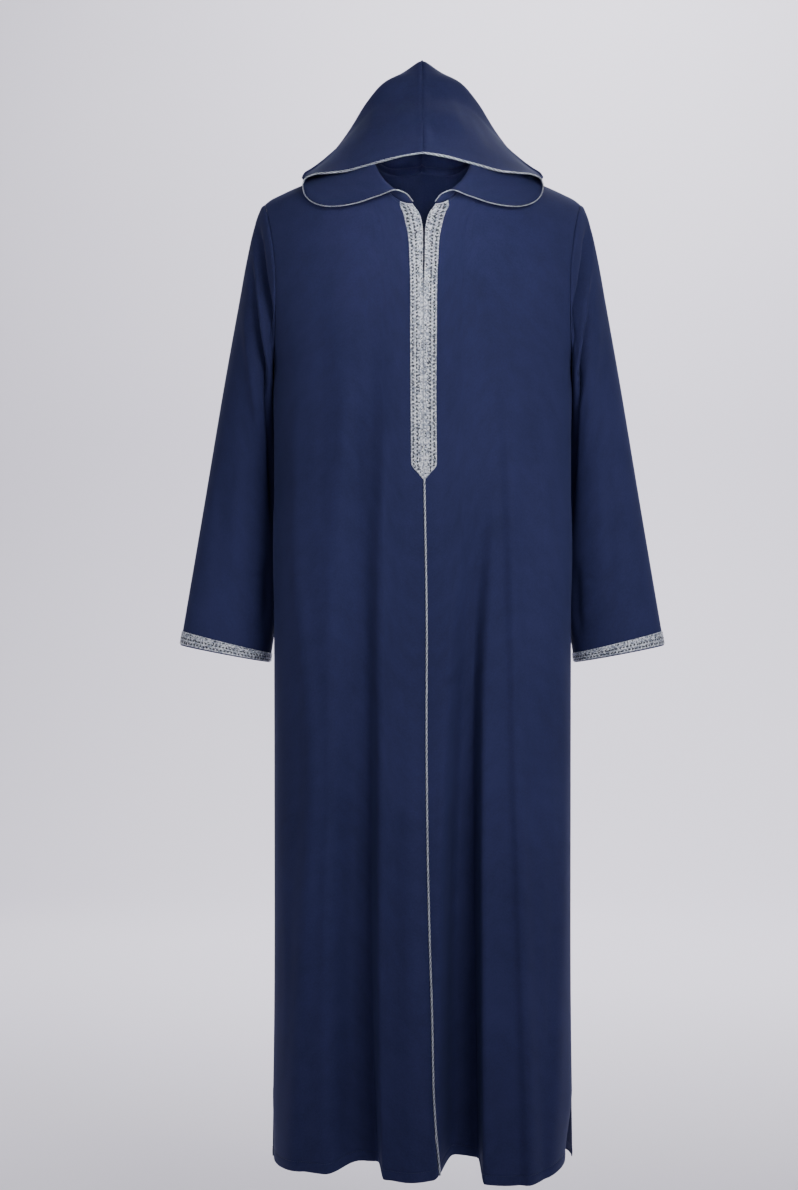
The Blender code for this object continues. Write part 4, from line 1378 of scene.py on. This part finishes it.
@dataclass(frozen=True)
class TwistedCord:
    """A cord of three plies twisted together, sewn along a line of points."""

    name: str
    radius: float
    twist_pitch: float = 7.5 * MM
    plies: int = 3
    around: int = 15
    step: float = 0.9 * MM
    ply_depth: float = 0.2
    swell: tuple[tuple[float, float], ...] = ((0, 1), (1, 1))

    def build(self, route: Array, silver: bpy.types.Material) -> bpy.types.Object:
        """Sweeps the twisted section along the route.

        Args:
            route: the cord's centre line, n x 3.
            silver: its material.
        """
        run = lengths_along(route[None], 1)[0]
        count = int(run[-1] / self.step)
        places = np.linspace(0, run[-1], count)
        centre = read_at(route, run, places)
        for _ in range(3):
            centre[1:-1] = (centre[:-2] + 2 * centre[1:-1] + centre[2:]) / 4
        along = unit(np.gradient(centre, axis=0))
        first = self.carried_normal(along)
        turn = np.linspace(0, 2 * np.pi, self.around + 1)
        twist = turn[None] * self.plies - 2 * np.pi * places[:, None] / self.twist_pitch * self.plies / 3
        lobe = 0.5 + 0.5 * np.cos(twist)
        size = self.radius * (1 - self.ply_depth * (1 - np.sqrt(lobe)))
        ends = np.minimum(places, places[-1] - places)[:, None]
        shares, factors = zip(*self.swell)
        size = size * np.interp(places / places[-1], shares, factors)[:, None]
        size = size * np.sqrt(np.clip(ends / self.radius, 0.05, 1))
        # The map's first number tells the cord's material how near a point lies to a ply's crest, for its
        # painted highlight and its painted shade in the valleys.
        uv = np.stack([lobe, np.broadcast_to(places[:, None], lobe.shape)], axis=-1)
        piece = tube(self.name, centre, (first, np.cross(along, first)), size, uv, True)
        piece.data.materials.append(silver)
        return piece

    @staticmethod
    def carried_normal(along: Array) -> Array:
        """A sideways direction at each point, carried along without twisting."""
        side = np.cross(along[0], (0, 0, 1.0) if abs(along[0][2]) < 0.9 else (0, 1.0, 0))
        carried = []
        for direction in along:
            side = side - direction * side.dot(direction)
            side = side / np.linalg.norm(side)
            carried.append(side)
        return np.array(carried)


@dataclass(frozen=True)
class SewnThread:
    """A running line of stitches: the thread lies on the cloth and dips through it between them."""

    pitch: float = 3.4 * MM
    shown_share: float = 0.74
    radius: float = 0.32 * MM
    rise: float = 0.25 * MM
    dip: float = 1.3 * MM
    around: int = 5
    step: float = 0.42 * MM

    def build(self, name: str, lines: Sequence[Array], facing: Sequence[Facing],
              thread: bpy.types.Material) -> bpy.types.Object:
        """Sews every line and joins them in one piece.

        Args:
            name: the piece's name.
            lines: points on the cloth.
            facing: the side of the garment that each line lies on.
            thread: the thread's material.
        """
        joined = bmesh.new()
        for line, side in zip(lines, facing):
            part = self.sewn(line, side)
            joined.from_mesh(part.data)
            bpy.data.objects.remove(part)
        piece = finished_piece(name, joined)
        piece.data.materials.append(thread)
        return piece

    def sewn(self, line: Array, facing: Facing) -> bpy.types.Object:
        """One line of stitches."""
        run = lengths_along(line[None], 1)[0]
        places = np.linspace(0, run[-1], int(run[-1] / self.step))
        centre = read_at(line, run, places)
        along = unit(np.gradient(centre, axis=0))
        ahead = np.array([0, facing.value, 0])
        outwards = unit(ahead - along * (along * ahead).sum(axis=1, keepdims=True))
        turn = np.mod(places / self.pitch, 1)
        shown = np.sin(np.pi * np.clip(turn / self.shown_share, 0, 1)) ** 0.5
        hidden = np.sin(np.pi * np.clip((turn - self.shown_share) / (1 - self.shown_share), 0, 1))
        centre = centre + outwards * (self.rise * shown - self.dip * hidden)[:, None]
        size = np.full((len(centre), self.around + 1), self.radius)
        uv = np.zeros(size.shape + (2,))
        return tube("stitches", centre, (outwards, np.cross(along, outwards)), size, uv, False)


# Studio

@dataclass(frozen=True)
class Studio:
    """A plain pale sweep, soft lights and the camera."""

    floor: float = -1.62
    front: float = -9.0
    wall: float = 6.0
    top: float = 6.0
    radius: float = 1.6
    bend_steps: int = 16
    half_width: float = 9.0
    papers: tuple[str, str] = ("#D6D2DF", "#DBD7E3")
    room: str = "#D6D8E0"
    room_strength: float = 0.085
    camera_place: Row = (-0.0338, -3.6, -0.629)
    frame_height: float = 1.7136  # what the picture's longer side takes in at the garment's middle
    sensor: float = 36  # mm
    # Each lamp: name, place, what it is aimed at, size, watts and spread in degrees
    lamps: tuple[tuple[str, Row, Row, float, float, float], ...] = (
        ("key", (1.0, -2.0, 0.45), (0, -0.1, -0.5), 1.1, 4.2, 52),
        ("front_fill", (-0.75, -2.8, 0.25), (0, -0.1, -0.35), 1.3, 1.8, 56),
        ("neck_light", (-0.03, -3.0, -0.55), (0, 0.05, -0.02), 0.25, 0.15, 8),
        ("side_right", (2.3, -0.9, 0.1), (0.2, 0, -0.5), 1.2, 6, 180),
        ("side_left", (-2.3, -0.9, 0.1), (-0.2, 0, -0.5), 1.2, 7.5, 180),
        ("back_light", (-1.8, 3.2, 0.9), (0, 0, -0.6), 1.6, 20, 180),
        ("wall_light", (0.8, 3.2, 2.8), (0.5, 6, -0.4), 3.0, 325, 180),
        ("floor_light", (0.9, 2.5, 2.2), (1.0, 3.5, -1.6), 2.5, 155, 180),
    )

    def backdrop(self) -> bpy.types.Object:
        """A matt paper sweep, faintly mottled: floor, a wide bend and a wall."""
        profile = [(self.front, self.floor)]
        for k in range(self.bend_steps + 1):
            turn = math.pi / 2 * k / self.bend_steps
            profile.append((self.wall - self.radius + self.radius * math.sin(turn),
                            self.floor + self.radius - self.radius * math.cos(turn)))
        profile.append((self.wall, self.top))
        mesh = bmesh.new()
        line = [mesh.verts.new((-self.half_width, y, z)) for y, z in profile]
        edges = [mesh.edges.new(pair) for pair in zip(line, line[1:])]
        made = bmesh.ops.extrude_edge_only(mesh, edges=edges)
        moved = [part for part in made["geom"] if isinstance(part, bmesh.types.BMVert)]
        bmesh.ops.translate(mesh, verts=moved, vec=(2 * self.half_width, 0, 0))
        bmesh.ops.recalc_face_normals(mesh, faces=mesh.faces)
        sweep = finished_piece("studio_sweep", mesh)
        material, tree = new_material("studio_paper")
        place = add_node(tree, "ShaderNodeTexCoord")
        fibres = add_node(tree, "ShaderNodeTexNoise", {"Vector": place.outputs["Object"], "Scale": 0.5})
        colour = add_node(tree, "ShaderNodeValToRGB", {"Fac": fibres}, (
            (0.3, self.papers[0]), (0.7, self.papers[1])))
        shader = add_node(tree, "ShaderNodeBsdfPrincipled", {
            "Base Color": colour.outputs["Color"], "Roughness": 0.9, "Specular IOR Level": 0.1})
        add_node(tree, "ShaderNodeOutputMaterial", {"Surface": shader.outputs[0]})
        sweep.data.materials.append(material)
        return sweep

    def lights(self) -> None:
        """The lamps, each a square that the camera doesn't see, in a dim room."""
        for name, place, aim, size, power, spread in self.lamps:
            data = bpy.data.lights.new(name, "AREA")
            data.shape = "SQUARE"
            data.size = size
            data.energy = power
            data.spread = math.radians(spread)
            lamp = bpy.data.objects.new(name, data)
            lamp.location = place
            lamp.rotation_euler = (Vector(aim) - Vector(place)).to_track_quat("-Z", "Y").to_euler()
            lamp.visible_camera = False
            bpy.context.scene.collection.objects.link(lamp)
        world = bpy.data.worlds.new("studio_room")
        world.use_nodes = True
        background = world.node_tree.nodes["Background"]
        background.inputs["Color"].default_value = linear(self.room)
        background.inputs["Strength"].default_value = self.room_strength
        bpy.context.scene.world = world

    def camera(self) -> None:
        """The camera, level and square to the front."""
        data = bpy.data.cameras.new("camera")
        data.sensor_width = self.sensor
        data.lens = self.sensor * -self.camera_place[1] / self.frame_height
        camera = bpy.data.objects.new("camera", data)
        camera.location = self.camera_place
        camera.rotation_euler = (math.radians(90), 0, 0)
        bpy.context.scene.collection.objects.link(camera)
        bpy.context.scene.camera = camera


# The rim cord's thickness along its length: thin on the lapels, thick and uneven over the top
RIM_SWELL = (
    (0, 0.40), (0.18, 0.42), (0.26, 0.45), (0.31, 0.75), (0.35, 1.0), (0.39, 0.72), (0.43, 0.95),
    (0.47, 0.6), (0.50, 0.75), (0.53, 1.05), (0.58, 0.85), (0.62, 1.0), (0.67, 0.8), (0.72, 0.55),
    (0.76, 0.45), (0.82, 0.42), (1, 0.40))

CORD_RADIUS = 1.5 * MM
RIM_CORD_RADIUS = 1.9 * MM
RIM_GAP = 0.2 * MM  # between the rim cord and the hood's edge
SEAM_CORD_SINK = 0.3 * MM


def rim_route(body: Body, cord_radius: float) -> Array:
    """The rim cord's centre line, from one lapel's end over the crown to the other's."""
    halves = []
    for side in Side:
        hood = HoodHalf(side, body)
        strip = hood.surface(np.array([0, 4 * MM]), np.linspace(0, 1, 400))
        rim, inside = strip[0], strip[1]
        away = rim - inside
        along = unit(np.gradient(rim, axis=0))
        away = unit(away - along * (away * along).sum(axis=1, keepdims=True))
        halves.append(rim + away * (cord_radius + RIM_GAP))
    return np.concatenate([halves[0][:-2], halves[1][::-1][2:]])


def seam_route(body: Body, cord_radius: float) -> Array:
    """The front cord's centre line, from the braid's point down to the hem."""
    fine = np.linspace(1.1, 2.0, 700)
    line = body.points(body.front_seam, fine, Facing.FRONT)
    line = line[line[:, 2] < PlacketBraid.tip + 3 * MM]
    beside = [body.surface_y(line[:, 0] + step, line[:, 2], Facing.FRONT) for step in (-3 * MM, 3 * MM)]
    across = np.stack([np.full(len(line), 6 * MM), beside[1] - beside[0], np.zeros(len(line))], axis=-1)
    outwards = unit(np.stack([across[:, 1], -across[:, 0], across[:, 2]], axis=-1))
    return line + outwards * (cord_radius - SEAM_CORD_SINK)


def ride_and_replace(piece: bpy.types.Object, node: str) -> None:
    """Puts a piece on the garment's one body in place of its frame node."""
    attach(piece, "root")
    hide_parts(node)
    log.info("%s stands for %s: %d faces", piece.name, node, len(piece.data.polygons))


def main() -> None:
    logging.basicConfig(level=logging.INFO, format="%(message)s", stream=sys.stdout)
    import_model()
    body, cut = Body(), PanelCut()
    cloth = NavySuiting().material()
    silver = SilverBraid().material()
    cord_silver = SilverCord().material()

    lines: list[Array] = []
    for side in Side:
        band = PlacketBraid(side, body).build(silver)
        ride_and_replace(band, f"placket_braid_{side.word}")
        panel = FrontPanel(side, body, cut)
        front = panel.build(cloth)
        lines += panel.stitch_lines()
        ride_and_replace(front, f"front_panel_{side.word}")
        sleeve = Sleeve(side, body)
        sleeve_piece = sleeve.build(cloth)
        ride_and_replace(sleeve_piece, f"sleeve_{side.word}")
        cuff = CuffBraid(sleeve).build(silver)
        ride_and_replace(cuff, f"cuff_braid_{side.word}")
        hood = HoodHalf(side, body).build(cloth)
        ride_and_replace(hood, f"hood_{side.word}")
    back_panel = BackPanel(body, cut)
    back = back_panel.build(cloth)
    ride_and_replace(back, "back_panel")
    lines += back_panel.stitch_lines()
    facings = [Facing.FRONT] * 6 + [Facing.BACK] * 3
    stitches = SewnThread().build("navy_stitching", lines, facings, SewingThread().material())
    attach(stitches, "root")
    rim = TwistedCord("hood_rim_twist", RIM_CORD_RADIUS, swell=RIM_SWELL)
    ride_and_replace(rim.build(rim_route(body, CORD_RADIUS), cord_silver), "hood_rim_cord")
    seam = TwistedCord("front_seam_twist", CORD_RADIUS)
    ride_and_replace(seam.build(seam_route(body, CORD_RADIUS), cord_silver), "front_seam_cord")

    studio = Studio()
    studio.backdrop()
    studio.lights()
    studio.camera()


if __name__ == "__main__":
    main()
